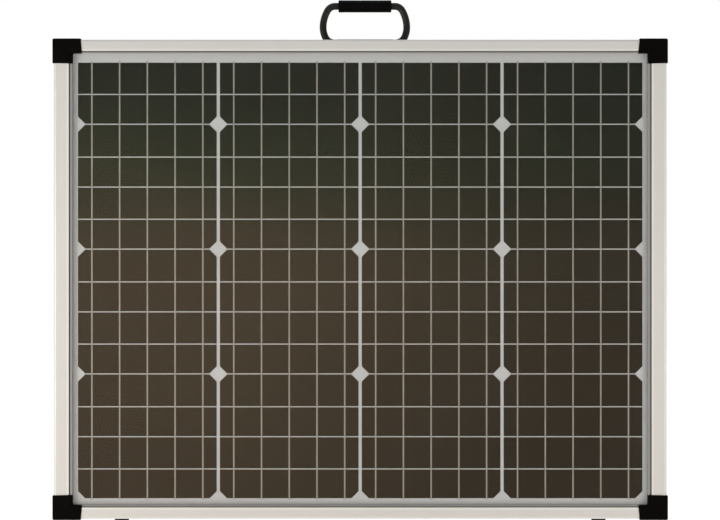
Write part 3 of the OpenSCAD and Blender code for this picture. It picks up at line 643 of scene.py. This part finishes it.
class SolarCaseLaminate(bpy.types.PropertyGroup):
    """Glass, cells, ribbons, backsheet and seal."""
    cell: colour_of("Cell", "Colour of the silicon cells", (0.012, 0.011, 0.0085))
    ribbon: colour_of("Ribbon", "Colour of the tinned ribbons", (0.42, 0.40, 0.37))
    backsheet: colour_of("Backsheet", "Colour of the film behind the cells", (0.59, 0.60, 0.62))
    seal: colour_of("Seal", "Colour of the seal round the glass", (0.02, 0.02, 0.019))
    glass_roughness: share_of("Glass roughness", "Roughness of the glass", 0.1)
    glass_seam: length_of("Glass seam", "Ground edge of the glass", 0.4 * MM)
    glass_air: length_of("Glass air", "Gap kept behind the glass", 0.05 * MM)


class SolarCaseHandle(bpy.types.PropertyGroup):
    """Bail, grip and handle plate."""
    steel: colour_of("Steel", "Colour of the coated rod and plate", (0.016, 0.0165, 0.0165))
    grip: colour_of("Grip", "Colour of the rubber sleeve", (0.0028, 0.0028, 0.0028))
    width: length_of("Width", "Width over the bail", 105 * MM)
    rod: length_of("Rod", "Diameter of the bail's rod", 8 * MM)
    pin: length_of("Pin", "Diameter of the rod's ends inside the barrel", 5 * MM)
    barrel_half: length_of("Barrel", "Half the length of the rolled barrel", 32.5 * MM)
    pin_start: length_of("Pin start", "Where the rod's inner ends stop, from the middle", 20 * MM)
    waist: length_of("Waist", "Height above the barrel where the bail is widest", 18 * MM)
    lower: length_of("Lower side", "Radius of the side below the widest place", 26 * MM)
    lower_angle: angle_of("Lower angle", "Slant where the lower side meets the curl", 25.0)
    side: length_of("Side", "Radius of the bowed side above the widest place", 39 * MM)
    shoulder: length_of("Shoulder", "Radius of the shoulder beside the grip", 10 * MM)
    shoulder_angle: angle_of("Shoulder angle", "Slant where the side meets the shoulder", 30.0)
    grip_rib: length_of("Grip rib", "Depth of the ribs in the sleeve", 0.06 * MM)
    grip_pitch: length_of("Grip pitch", "Distance from rib to rib", 3 * MM)
    grip_round: length_of("Grip rounding", "Rounding of the sleeve's ends", 1.2 * MM)


class SolarCaseHardware(bpy.types.PropertyGroup):
    """Screws, feet, hinges, latches and stands."""
    plating: colour_of("Plating", "Colour of the plated steel", (0.58, 0.575, 0.56))
    screw: colour_of("Screw", "Colour of the screws", (0.50, 0.49, 0.47))
    stand: colour_of("Stand", "Colour of the stands", (0.70, 0.69, 0.67))
    foot: colour_of("Foot", "Colour of the rubber feet", (0.012, 0.012, 0.012))
    recess: length_of("Recess", "Depth of the cross in a screw's head", 0.7 * MM)
    edge: length_of("Edge", "Rounding of pressed and bent parts", 0.25 * MM)
    foot_groove: length_of("Foot groove", "Depth of the ring under a foot", 0.6 * MM)


class SolarCaseElectrics(bpy.types.PropertyGroup):
    """Junction boxes and charge controller."""
    box: colour_of("Box", "Colour of the junction boxes", (0.012, 0.012, 0.013))
    case: colour_of("Case", "Colour of the controller's case", (0.022, 0.023, 0.025))
    display: colour_of("Display", "Colour of the display's ground", (0.26, 0.32, 0.22))
    board: colour_of("Board", "Colour of the circuit board", (0.015, 0.09, 0.035))
    menu: colour_of("Menu button", "Colour of the menu button", (0.52, 0.52, 0.50))
    load: colour_of("Load button", "Colour of the load button", (0.52, 0.12, 0.03))
    corner: length_of("Corner", "Corner radius of the boxes", 5 * MM)
    rib: length_of("Rib", "Height of the ribs on a junction box lid", 0.7 * MM)


class SolarCaseStage(bpy.types.PropertyGroup):
    """Floor, lights and camera."""
    floor: colour_of("Floor", "Colour of the floor", (0.90, 0.90, 0.895))
    camera_reach: length_of("Camera reach", "Distance of the camera from the front panel", 1.6,
                            0.5, 5.0)
    camera_height: length_of("Camera height", "Height of the camera above the feet", 0.2962)
    camera_side: length_of("Camera side", "Sideways place of the camera", -0.0002, -1.0, 1.0)
    lens: bpy.props.FloatProperty(name="Lens", description="Focal length in millimetres",
                                  default=71.4, min=20.0, max=200.0)
    key: share_of("Key", "Power of the main light, in watts", 7.5, 200.0)
    fill: share_of("Fill", "Power of the light on the other side, in watts", 5.0, 200.0)
    top: share_of("Top", "Power of the light from above, in watts", 1.0, 200.0)
    drop: length_of("Floor drop", "Depth of the floor under the case, below the opened panel", 0.57)


SETTINGS = {
    "solar_case_frame": SolarCaseFrame,
    "solar_case_laminate": SolarCaseLaminate,
    "solar_case_handle": SolarCaseHandle,
    "solar_case_hardware": SolarCaseHardware,
    "solar_case_electrics": SolarCaseElectrics,
    "solar_case_stage": SolarCaseStage,
}


class Undoable:
    """What every operator of this add-on shares."""
    bl_options = {"REGISTER", "UNDO"}


# ---- Frame ----

class SOLARCASE_OT_frame_bars(Undoable, bpy.types.Operator):
    """Finishes the upright and level bars of both panels, with painted highlight and painted shade
    bands along them
    """
    bl_idname = "solarcase.frame_bars"
    bl_label = "Frame Bars"

    def execute(self, context):
        look = context.scene.solar_case_frame
        for nodes, axis, name, widths in (
                ("stiles", 0, "upright", (look.face_upright, look.groove_upright, look.lip_upright)),
                ("rails", 2, "level", (look.face_level, look.groove_level, look.lip_level))):
            low, high = low_high(f"front_{nodes}")
            middle = (low[axis] + high[axis]) / 2
            # bar gives where the painted highlight and the painted shade of groove and lip lie across
            # the bar.
            bar = (axis, middle, high[axis] - middle, *widths, abs(low[1]) - look.lip_depth)
            finish = anodised(f"anodised_{name}", look.aluminium, 2 - axis, look.bar_metal,
                              look.bar_roughness, bar)
            dress(finish, *(f"{side}_{nodes}" for side in SIDES))
        return {"FINISHED"}


class SOLARCASE_OT_corner_caps(Undoable, bpy.types.Operator):
    """Makes the four moulded corner caps of each panel"""
    bl_idname = "solarcase.corner_caps"
    bl_label = "Corner Caps"

    def execute(self, context):
        look = context.scene.solar_case_frame
        plastic = moulded("cap_nylon", look.cap, 0.6, specular=0.03)
        reach, rise, lean = look.cap_reach, look.cap_rise, look.cap_lean
        inner_x, inner_z = look.cap_face_upright, look.cap_face_level
        outline = rounded_outline(
            [(0, 0), (reach - lean, 0), (reach, inner_z), (inner_x, inner_z),
             (inner_x, rise), (0, rise - lean / 3)],
            np.array([2.0, 0.9, 0.9, 1.2, 0.9, 0.9]) * MM, 7)
        for side in SIDES:
            low, high = low_high(f"{side}_corner_caps")
            block = eased_block(outline, high[1] - low[1], look.cap_round)
            caps = [set_axes(block, (sx, 0, 0), (0, 0, sz), (0, 1, 0),
                             (low[0] if sx > 0 else high[0], low[1], low[2] if sz > 0 else high[2]))
                    for sx in (1, -1) for sz in (1, -1)]
            put_mesh(f"{side}_corner_cap_mouldings", caps, plastic, f"{side}_corner_caps")
        return {"FINISHED"}


# ---- Laminate ----

class SOLARCASE_OT_laminate(Undoable, bpy.types.Operator):
    """Makes the glass and finishes the cells, ribbons, backsheet and seal"""
    bl_idname = "solarcase.laminate"
    bl_label = "Laminate"

    def execute(self, context):
        look = context.scene.solar_case_laminate
        glass = laminate_glass("low_iron_glass", look.glass_roughness)
        cells = silicon("etched_silicon", look.cell)
        ribbons = tinned("tinned_ribbon", look.ribbon)
        sheet = film("backsheet_laminate", look.backsheet)
        seal = moulded("seal_rubber", look.seal, 0.65, 0.3, 0.02, 2200.0)
        for side, facing in SIDES.items():
            dress(cells, f"{side}_cells")
            dress(ribbons, f"{side}_ribbons")
            dress(sheet, f"{side}_backsheet")
            dress(seal, f"{side}_glass_seal")
            low, high = low_high(f"{side}_glass")
            size, middle = high - low, (low + high) / 2
            slab = eased_block(box_outline(size[0], size[2], 1.5 * MM, 4),
                               size[1] - look.glass_air, look.glass_seam, 3)
            face = high[1] if facing > 0 else low[1]
            pane = standing(slab, (middle[0], face, middle[2]), facing)
            put_mesh(f"{side}_glass_pane", [pane], glass, f"{side}_glass")
        return {"FINISHED"}


# ---- Handle ----

def bail_path(look):
    """Centre line of the bail, its right half worked out and then mirrored.

    Four arcs run into each other with no corner: the shoulder, the bowed side, the lower side
    and the curl, whose radius is what brings the rod level with the barrel.
    """
    half, high, low = (look.width - look.rod) / 2, look.shoulder_angle, look.lower_angle
    curl = (look.waist - look.lower * np.sin(low)) / (1 - np.sin(low))
    bow, belly = half - look.side, half - look.lower
    parts = (
        (bow + (look.side - look.shoulder) * np.cos(high),
         look.waist + (look.side - look.shoulder) * np.sin(high), look.shoulder, np.pi / 2, high, 14),
        (bow, look.waist, look.side, high, 0.0, 16),
        (belly, look.waist, look.lower, 0.0, -low, 12),
        (belly + (look.lower - curl) * np.cos(low), curl, curl, -low, -np.pi / 2, 18))
    arcs = []
    for x, z, radius, start, stop, steps in parts:
        t = np.linspace(start, stop, steps)
        arcs.append(np.stack([x + radius * np.cos(t), z + radius * np.sin(t)], -1)[len(arcs) > 0:])
    right = np.vstack(arcs + [[(look.barrel_half + 0.5 * MM, 0.0)]])
    left = right[::-1] * (-1, 1)
    top = np.linspace(left[-1], right[0], 12)[1:-1]
    line = np.vstack([left, top, right])
    return np.column_stack([line[:, 0], np.zeros(len(line)), line[:, 1]])


class SOLARCASE_OT_handle(Undoable, bpy.types.Operator):
    """Makes the bail and its grip, and finishes the handle plate"""
    bl_idname = "solarcase.handle"
    bl_label = "Handle"

    def execute(self, context):
        look = context.scene.solar_case_handle
        steel = coated("coated_rod", look.steel, 0.36)
        rubber = moulded("grip_rubber", look.grip, 0.4, 0.06, 0.01, 2600.0)
        pivot = pivot_of("handle_swing")
        path = bail_path(look)
        across, upward = level_frames(path, (0.0, 1.0, 0.0))
        rod = carried(circle_outline(look.rod / 2, 28), path + pivot, across, upward)
        stub = turned([look.pin / 2 * 0.8, look.pin / 2, look.pin / 2],
                      [0, 0.6 * MM, look.barrel_half + 1 * MM - look.pin_start], 24)
        stubs = [set_axes(stub, (0, 1, 0), (0, 0, 1), (s, 0, 0), pivot + (s * look.pin_start, 0, 0))
                 for s in (1, -1)]
        put_mesh("bail_rod", [rod] + stubs, steel, "handle_bail")

        low, high = low_high("handle_grip")
        length, radius = high[0] - low[0], (high[2] - low[2]) / 2
        t = np.linspace(0, np.pi / 2, 7)
        ease = look.grip_round
        along = np.linspace(2 * ease, length - 2 * ease, 220)
        ribbed = np.clip(np.minimum(along - 4 * ease, length - 4 * ease - along) / (2 * MM), 0, 1)
        ribs = look.grip_rib * ribbed * (0.5 - 0.5 * np.cos(TURN * along / look.grip_pitch))
        rim = radius - ease * (1 - np.sin(t))
        bore = look.rod / 2 + 0.3 * MM
        radii = np.concatenate([[bore], rim, radius - ribs, rim[::-1], [bore]])
        places = np.concatenate([[0.3 * MM], ease * (1 - np.cos(t)), along,
                                 length - ease * (1 - np.cos(t[::-1])), [length - 0.3 * MM]])
        sleeve = set_axes(turned(radii, places, 48), (0, 1, 0), (0, 0, 1), (1, 0, 0),
                          (low[0], (low[1] + high[1]) / 2, (low[2] + high[2]) / 2))
        put_mesh("grip_sleeve", [sleeve], rubber, "handle_grip")
        softened("handle_plate", "barrel_plate", steel, context.scene.solar_case_hardware.edge)
        return {"FINISHED"}


# ---- Screws and feet ----

def screw_head(radius, height, recess):
    """Pan head with a cross, as a height over angle and radius.

    The crown is height * (1 - 0.35 * (r / R) ** 2). The cross takes away its depth where the
    smaller of |x| and |y| is under the slot's half width and r is inside the slot's reach.
    """
    rings = np.r_[1.0, 1.0, 0.97, 0.9, np.linspace(0.82, 0.06, 14)] * radius
    x, y, level = (turned(rings, 0 * rings, 48)[..., k] for k in range(3))
    r = np.hypot(x, y)
    level = height * (1 - 0.35 * (r / radius) ** 2)
    level[0] = 0.0
    level[1] = height * 0.5
    slot = np.clip((0.17 * radius - np.minimum(abs(x), abs(y))) / (0.05 * radius), 0, 1)
    reach = np.clip((0.62 * radius - r) / (0.12 * radius), 0, 1)
    return np.stack([x, y, level - min(recess, 0.7 * height) * slot * reach], -1)


class SOLARCASE_OT_screws(Undoable, bpy.types.Operator):
    """Makes the cross-head screws of the handle, latches and controller"""
    bl_idname = "solarcase.screws"
    bl_label = "Screws"

    def execute(self, context):
        look = context.scene.solar_case_hardware
        steel = plated("bright_screw", look.screw, 0.3)
        radius, tall, short = 3 * MM, 1.6 * MM, 1.0 * MM
        low, high = low_high("handle_screws")
        head = screw_head(radius, tall, look.recess)
        seat = high[2] - tall
        upright = [head + (x, y, seat) for x in (low[0] + radius, high[0] - radius)
                   for y in (low[1] + radius, high[1] - radius)]
        put_mesh("handle_screw_heads", upright, steel, "handle_screws")

        low, high = low_high("controller_screws")
        rearward = [standing(head, (x, low[1] + tall, z))
                    for x in (low[0] + radius, high[0] - radius)
                    for z in (low[2] + radius, high[2] - radius)]
        put_mesh("controller_screw_heads", rearward, steel, "controller_screws")
        thin = screw_head(radius, short, look.recess)
        for part in ("latch", "keeper"):
            low, high = low_high(f"{part}_screws")
            y = (low[1] + high[1]) / 2
            heads = [set_axes(thin, (0, 1, 0), (0, 0, 1), (s, 0, 0), (s * (high[0] - short), y, z))
                     for s in (1, -1) for z in (low[2] + radius, high[2] - radius)]
            put_mesh(f"{part}_screw_heads", heads, steel, f"{part}_screws")
        return {"FINISHED"}


class SOLARCASE_OT_feet(Undoable, bpy.types.Operator):
    """Makes the rubber feet under the lower edge"""
    bl_idname = "solarcase.feet"
    bl_label = "Feet"

    def execute(self, context):
        look = context.scene.solar_case_hardware
        rubber = moulded("foot_rubber", look.foot, 0.7, 0.35, 0.05, 1200.0)
        for side in SIDES:
            low, high = low_high(f"{side}_feet")
            radius = (high[1] - low[1]) / 2
            t = np.linspace(0, np.pi / 2, 6)
            groove, rim = look.foot_groove, 1.2 * MM
            radii = np.concatenate([np.array([0.05, 0.42, 0.46, 0.6, 0.64]) * radius,
                                    radius - rim * (1 - np.sin(t)), [radius, 0.05 * radius]])
            heights = np.concatenate([[0, 0, groove, groove, 0], rim * (1 - np.cos(t)),
                                      [high[2], high[2]]])
            foot = turned(radii, heights, 40)
            feet = [foot + (x, (low[1] + high[1]) / 2, low[2])
                    for x in (low[0] + radius, high[0] - radius)]
            put_mesh(f"{side}_rubber_feet", feet, rubber, f"{side}_feet")
        return {"FINISHED"}


# ---- Hinges, latches and stands ----

class SOLARCASE_OT_hinges(Undoable, bpy.types.Operator):
    """Makes the hinge leaves and finishes their pins and screws"""
    bl_idname = "solarcase.hinges"
    bl_label = "Hinges"

    def execute(self, context):
        look = context.scene.solar_case_hardware
        steel = plated("hinge_plating", look.plating, 0.34, (30.0, 900.0, 900.0))
        for side in SIDES:
            softened(f"{side}_hinge_leaves", f"{side}_hinge_plates", steel, 0.15 * MM)
        dress(steel, "hinge_pins")
        dress(plated("countersunk_screw", look.screw, 0.3), *(f"{side}_hinge_screws" for side in SIDES))
        return {"FINISHED"}


def loop_path(low, high, wire, pivot, facing):
    """Centre line of a latch loop: in through a cheek, out along a side, across and back."""
    side = (high[2] - low[2]) / 2 - wire
    far = np.array([facing * (max(abs(low[0]), abs(high[0])) - wire), low[1] + wire])
    near = pivot[:2]
    away = np.hypot(*(far - near))
    cheek = side - 4.5 * MM
    flat = rounded_path([(0, cheek), (0, side), (away, side), (away, -side), (0, -side),
                         (0, -cheek)], np.array([1.3, 2.2, 2.2, 1.3]) * MM, 9)
    along = np.append((far - near) / away, 0.0)
    return flat[:, :1] * along + flat[:, 1:] * np.array([0, 0, 1.0]) + pivot, along


class SOLARCASE_OT_latches(Undoable, bpy.types.Operator):
    """Makes the draw latches: bases, levers, wire loops and keepers"""
    bl_idname = "solarcase.latches"
    bl_label = "Latches"

    def execute(self, context):
        look = context.scene.solar_case_hardware
        pressed = plated("latch_plating", look.plating, 0.3, (900.0, 60.0, 900.0))
        drawn = plated("latch_wire", shade(look.plating, 1.08), 0.24, (900.0, 900.0, 40.0))
        softened("latch_bases", "latch_base_plates", pressed, look.edge)
        softened("latch_keepers", "latch_keeper_plates", pressed, look.edge)
        dress(drawn, "latch_pins")
        for hand, facing in (("left", -1), ("right", 1)):
            softened(f"{hand}_latch_lever", f"{hand}_lever_plate", pressed, look.edge)
            low, high = low_high(f"{hand}_latch_loop")
            wire = 0.9 * MM
            pivot = pivot_of(f"{hand}_latch_loop")
            path, along = loop_path(low, high, wire, pivot, facing)
            across, upward = level_frames(path, np.cross(along, (0.0, 0.0, 1.0)))
            loop = carried(circle_outline(wire, 16), path, across, upward)
            put_mesh(f"{hand}_wire_loop", [loop], drawn, f"{hand}_latch_loop")
        return {"FINISHED"}


class SOLARCASE_OT_stands(Undoable, bpy.types.Operator):
    """Makes the fold-out stands behind the panels"""
    bl_idname = "solarcase.stands"
    bl_label = "Stands"

    def execute(self, context):
        look = context.scene.solar_case_hardware
        flat = anodised("stand_extrusion", look.stand, 0, 0.7, 0.36)
        tube = anodised("stand_tube", look.stand, 2, 0.7, 0.33)
        steel = plated("stand_hardware", look.plating, 0.32)
        for side in SIDES:
            for part, shown, finish, width in (
                    ("arms", "bars", flat, 2), ("brackets", "angles", flat, 2),
                    ("bolts", "pivots", steel, 1), ("bar", "foot_tube", tube, 2)):
                softened(f"{side}_stand_{part}", f"{side}_stand_{shown}", finish, width * look.edge)
        return {"FINISHED"}


# ---- Junction boxes and controller ----

class SOLARCASE_OT_junction_boxes(Undoable, bpy.types.Operator):
    """Makes the junction boxes with their ribbed lids and blanked glands"""
    bl_idname = "solarcase.junction_boxes"
    bl_label = "Junction Boxes"

    def execute(self, context):
        look = context.scene.solar_case_electrics
        black = moulded("junction_moulding", look.box, 0.45, 0.4, 0.04, 1300.0)
        for side, facing in SIDES.items():
            low, high = low_high(f"{side}_junction_box")
            lid_low, lid_high = low_high(f"{side}_junction_lid")
            size, middle = high - low, (low + high) / 2
            rib, step, root = look.rib, 0.7 * MM, 0.4 * MM
            levels, insets = eased_edge(size[1], 0.8 * MM, 4)
            levels = np.append(levels, levels[-1])
            insets = np.append(insets, insets[-1])
            body = stacked(box_outline(size[0], size[2], look.corner), levels, insets)
            cover_t = lid_high[1] - lid_low[1] - 2 * MM
            cover = eased_block(box_outline(size[0] - 2 * step, size[2] - 2 * step, look.corner - step),
                                cover_t - rib, 0.5 * MM, 4) + (0, 0, size[1])
            fin = eased_block(box_outline(3 * MM, size[2] - 16 * MM, 1.4 * MM, 4),
                              rib + root, 0.35 * MM, 4) + (0, 0, size[1] + cover_t - rib - root)
            fins = [fin + (x, 0, 0) for x in np.linspace(-0.38, 0.38, 9) * size[0]]
            wall = high[1] if facing > 0 else low[1]
            skins = [standing(skin, (middle[0], wall, middle[2]), facing)
                     for skin in [body, cover] + fins]
            put_mesh(f"{side}_junction_moulding", skins, black, f"{side}_junction_box",
                     f"{side}_junction_lid")
            nut = eased_block(rounded_outline(circle_outline(6 * MM, 6), 0.6 * MM, 4),
                              4 * MM, 0.5 * MM, 4)
            plug = turned(np.array([4.4, 4.4, 4.1, 3.4, 0.4]) * MM,
                          np.array([3.5, 6.6, 7.0, 7.2, 7.2]) * MM)
            glands = [set_axes(skin, (1, 0, 0), (0, 1, 0), (0, 0, -1),
                               (middle[0] + x, (low[1] + high[1]) / 2, low[2]))
                      for x in (-size[0] / 4, size[0] / 4) for skin in (nut, plug)]
            put_mesh(f"{side}_junction_glands", glands, black, f"{side}_junction_box", added=True)
            dress(black, f"{side}_bypass_diodes")
        return {"FINISHED"}


class SOLARCASE_OT_controller(Undoable, bpy.types.Operator):
    """Makes the charge controller: case, cover, display, buttons and gland"""
    bl_idname = "solarcase.controller"
    bl_label = "Charge Controller"

    def execute(self, context):
        look, edge = context.scene.solar_case_electrics, context.scene.solar_case_hardware.edge
        dark = moulded("controller_moulding", look.case, 0.5, 0.4, 0.04, 1200.0)
        low, high = low_high("controller_case")
        size, middle = high - low, (low + high) / 2
        shell = eased_block(box_outline(size[0], size[2], look.corner), size[1], 0.9 * MM)
        back = standing(shell, (middle[0], high[1], middle[2]))
        put_mesh("controller_shell", [back], dark, "controller_case")
        softened("controller_cover", "controller_front", dark, edge)
        softened("controller_gland", "controller_cable_gland", dark, edge)
        low, high = low_high("controller_display")
        window = lcd("display_glass", look.display, (low + high) / 2, high - low)
        dress(window, "controller_display")
        dress(solder_mask("circuit_board", tuple(look.board) + (1.0,)), "controller_board")
        for name, colour in (("menu", look.menu), ("load", look.load)):
            finish = moulded(f"{name}_button_plastic", colour, 0.4, 0.5, 0.01, 2400.0)
            low, high = low_high(f"{name}_button")
            wide, depth = (high[0] - low[0]) / 2, high[1] - low[1]
            stem = wide - 1.2 * MM
            t = np.linspace(0, np.pi / 2, 6)
            radii = np.concatenate([[wide - 0.2 * MM, wide, wide, stem, stem],
                                    stem - 0.7 * MM * (1 - np.sin(t[::-1])),
                                    np.array([0.6, 0.35, 0.05]) * stem])
            flange = 1.5 * MM
            heights = np.concatenate([[0, 0.2 * MM, flange, flange, depth - 1.2 * MM],
                                      depth - 0.25 * MM - 0.7 * MM * (1 - np.cos(t[::-1])),
                                      depth - np.array([0.28, 0.36, 0.4]) * MM])
            button = standing(turned(radii, heights, 40),
                              ((low[0] + high[0]) / 2, high[1], (low[2] + high[2]) / 2))
            put_mesh(f"{name}_button_cap", [button], finish, f"{name}_button")
        return {"FINISHED"}


# ---- Stage ----

# Colours of the room in front, from straight down (0) to straight up (1)
ROOM_STOPS = (
    (0.41, (0.66, 0.45, 0.27, 1)), (0.50, (0.84, 0.60, 0.37, 1)), (0.532, (0.32, 0.40, 0.20, 1)),
    (0.565, (0.06, 0.13, 0.09, 1)), (0.61, (0.10, 0.14, 0.13, 1)), (0.72, (0.45, 0.48, 0.50, 1)),
)


class SOLARCASE_OT_stage(Undoable, bpy.types.Operator):
    """Makes the floor, the soft lights and the camera"""
    bl_idname = "solarcase.stage"
    bl_label = "Stage"

    def execute(self, context):
        scene = context.scene
        look = scene.solar_case_stage
        finish = Finish("pale_floor", Roughness=0.9, Specular_IOR_Level=0.1,
                        Emission_Color=(1.0, 1.0, 1.0, 1.0), Emission_Strength=0.42)
        speck = finish.noise(finish.place(), 3.0, 3.0)
        tone = finish.mix(speck, shade(look.floor, 0.995), shade(look.floor, 1.0))
        paint = finish.done(Base_Color=tone)
        mesh = bpy.data.meshes.new("studio_floor")
        reach, level = 12.0, -look.drop
        mesh.from_pydata([(-reach, -reach, level), (reach, -reach, level),
                          (reach, reach, level), (-reach, reach, level)], [], [(0, 1, 2, 3)])
        mesh.materials.append(paint)
        floor = bpy.data.objects.new("studio_floor", mesh)
        floor.visible_glossy = False
        scene.collection.objects.link(floor)

        case_low, case_high = (np.array(corner) for corner in CAD_BOX)
        aim = (case_low + case_high) / 2
        low = aim * (1, 1, 0.5)
        self.lamp(scene, "key_light", (-1.25, -1.0, 0.18), low, 0.55, look.key, (1.0, 0.95, 0.89))
        self.lamp(scene, "fill_light", (1.25, -1.0, 0.18), low, 0.55, look.fill, (1.0, 0.93, 0.86))
        self.lamp(scene, "top_light", (0.0, -0.5, 1.9), aim, 1.2, look.top, (0.95, 0.98, 1.0))
        self.surroundings(scene)

        lens = bpy.data.cameras.new("studio_camera")
        lens.lens, lens.sensor_width, lens.clip_end = look.lens, 36.0, 60.0
        camera = bpy.data.objects.new("studio_camera", lens)
        camera.location = (look.camera_side, case_low[1] - look.camera_reach, look.camera_height)
        camera.rotation_euler = (np.pi / 2, 0.0, 0.0)
        scene.collection.objects.link(camera)
        scene.camera = camera
        scene.view_settings.view_transform = "Standard"
        return {"FINISHED"}

    def lamp(self, scene, name, place, aim, size, power, colour):
        """Square soft light turned towards a point."""
        light = bpy.data.lights.new(name, "AREA")
        light.shape, light.size, light.energy, light.color = "SQUARE", size, power, colour
        lamp = bpy.data.objects.new(name, light)
        lamp.location = place
        away = mathutils.Vector(place) - mathutils.Vector(aim)
        lamp.rotation_euler = away.to_track_quat("Z", "Y").to_euler()
        scene.collection.objects.link(lamp)

    def surroundings(self, scene):
        """Bright paper behind the case, and a duller room in front of it for the glass to mirror.

        The paper is muted in mirrors, and the room is darker towards the right.
        """
        scene.world = bpy.data.worlds.new("studio_room")
        room = Wiring(scene.world, "Background")
        x, y, z = room.split(room.node("ShaderNodeTexCoord", output="Generated"))
        height = room.node("ShaderNodeValToRGB", {"stops": ROOM_STOPS},
                           {"Fac": room.spread(z, -1.0, 1.0, 0.0, 1.0)})
        height.socket.node.color_ramp.interpolation = "EASE"
        seen = room.node("ShaderNodeLightPath", output="Is Camera Ray")
        glossy = Wire(room, seen.socket.node.outputs["Is Glossy Ray"])
        muted = room.spread(y, -0.3, 0.1, 0.0, 1.0) * room.spread(glossy, 0.0, 1.0, 1.0, 0.3)
        paper = room.math("MAXIMUM", muted, seen)
        aside = room.node("ShaderNodeMapRange", {"interpolation_type": "SMOOTHSTEP"},
                          {"Value": x, "From Min": -0.12, "From Max": 0.2,
                           "To Min": 1.0, "To Max": 0.5})
        dimmed = room.node("ShaderNodeVectorMath", {"operation": "SCALE"}, {0: height, "Scale": aside})
        room.feed(room.shader, {"Color": room.mix(paper, dimmed, (1.0, 1.0, 1.0, 1.0))})


OPERATORS = (
    SOLARCASE_OT_frame_bars, SOLARCASE_OT_corner_caps, SOLARCASE_OT_laminate, SOLARCASE_OT_handle,
    SOLARCASE_OT_screws, SOLARCASE_OT_feet, SOLARCASE_OT_hinges, SOLARCASE_OT_latches,
    SOLARCASE_OT_stands, SOLARCASE_OT_junction_boxes, SOLARCASE_OT_controller, SOLARCASE_OT_stage,
)


class SOLARCASE_PT_panel(bpy.types.Panel):
    """Lists the case's settings and the operators that make its pieces"""
    bl_idname = "SOLARCASE_PT_panel"
    bl_label = "Folding Solar Suitcase"
    bl_space_type = "VIEW_3D"
    bl_region_type = "UI"
    bl_category = "Solar Case"

    def draw(self, context):
        for key, group in SETTINGS.items():
            box = self.layout.box()
            box.label(text=group.__doc__)
            settings = getattr(context.scene, key)
            for name in group.__annotations__:
                box.prop(settings, name)
        for operator in OPERATORS:
            self.layout.operator(operator.bl_idname)


CLASSES = tuple(SETTINGS.values()) + OPERATORS + (SOLARCASE_PT_panel,)


def register():
    for entry in CLASSES:
        bpy.utils.register_class(entry)
    for key, group in SETTINGS.items():
        setattr(bpy.types.Scene, key, bpy.props.PointerProperty(type=group))


def unregister():
    for key in SETTINGS:
        delattr(bpy.types.Scene, key)
    for entry in reversed(CLASSES):
        bpy.utils.unregister_class(entry)


def main():
    """Makes every piece on the frame."""
    register()
    for operator in OPERATORS:
        group, name = operator.bl_idname.split(".")
        getattr(getattr(bpy.ops, group), name)()
    bpy.context.view_layer.update()


if __name__ == "__main__":
    main()
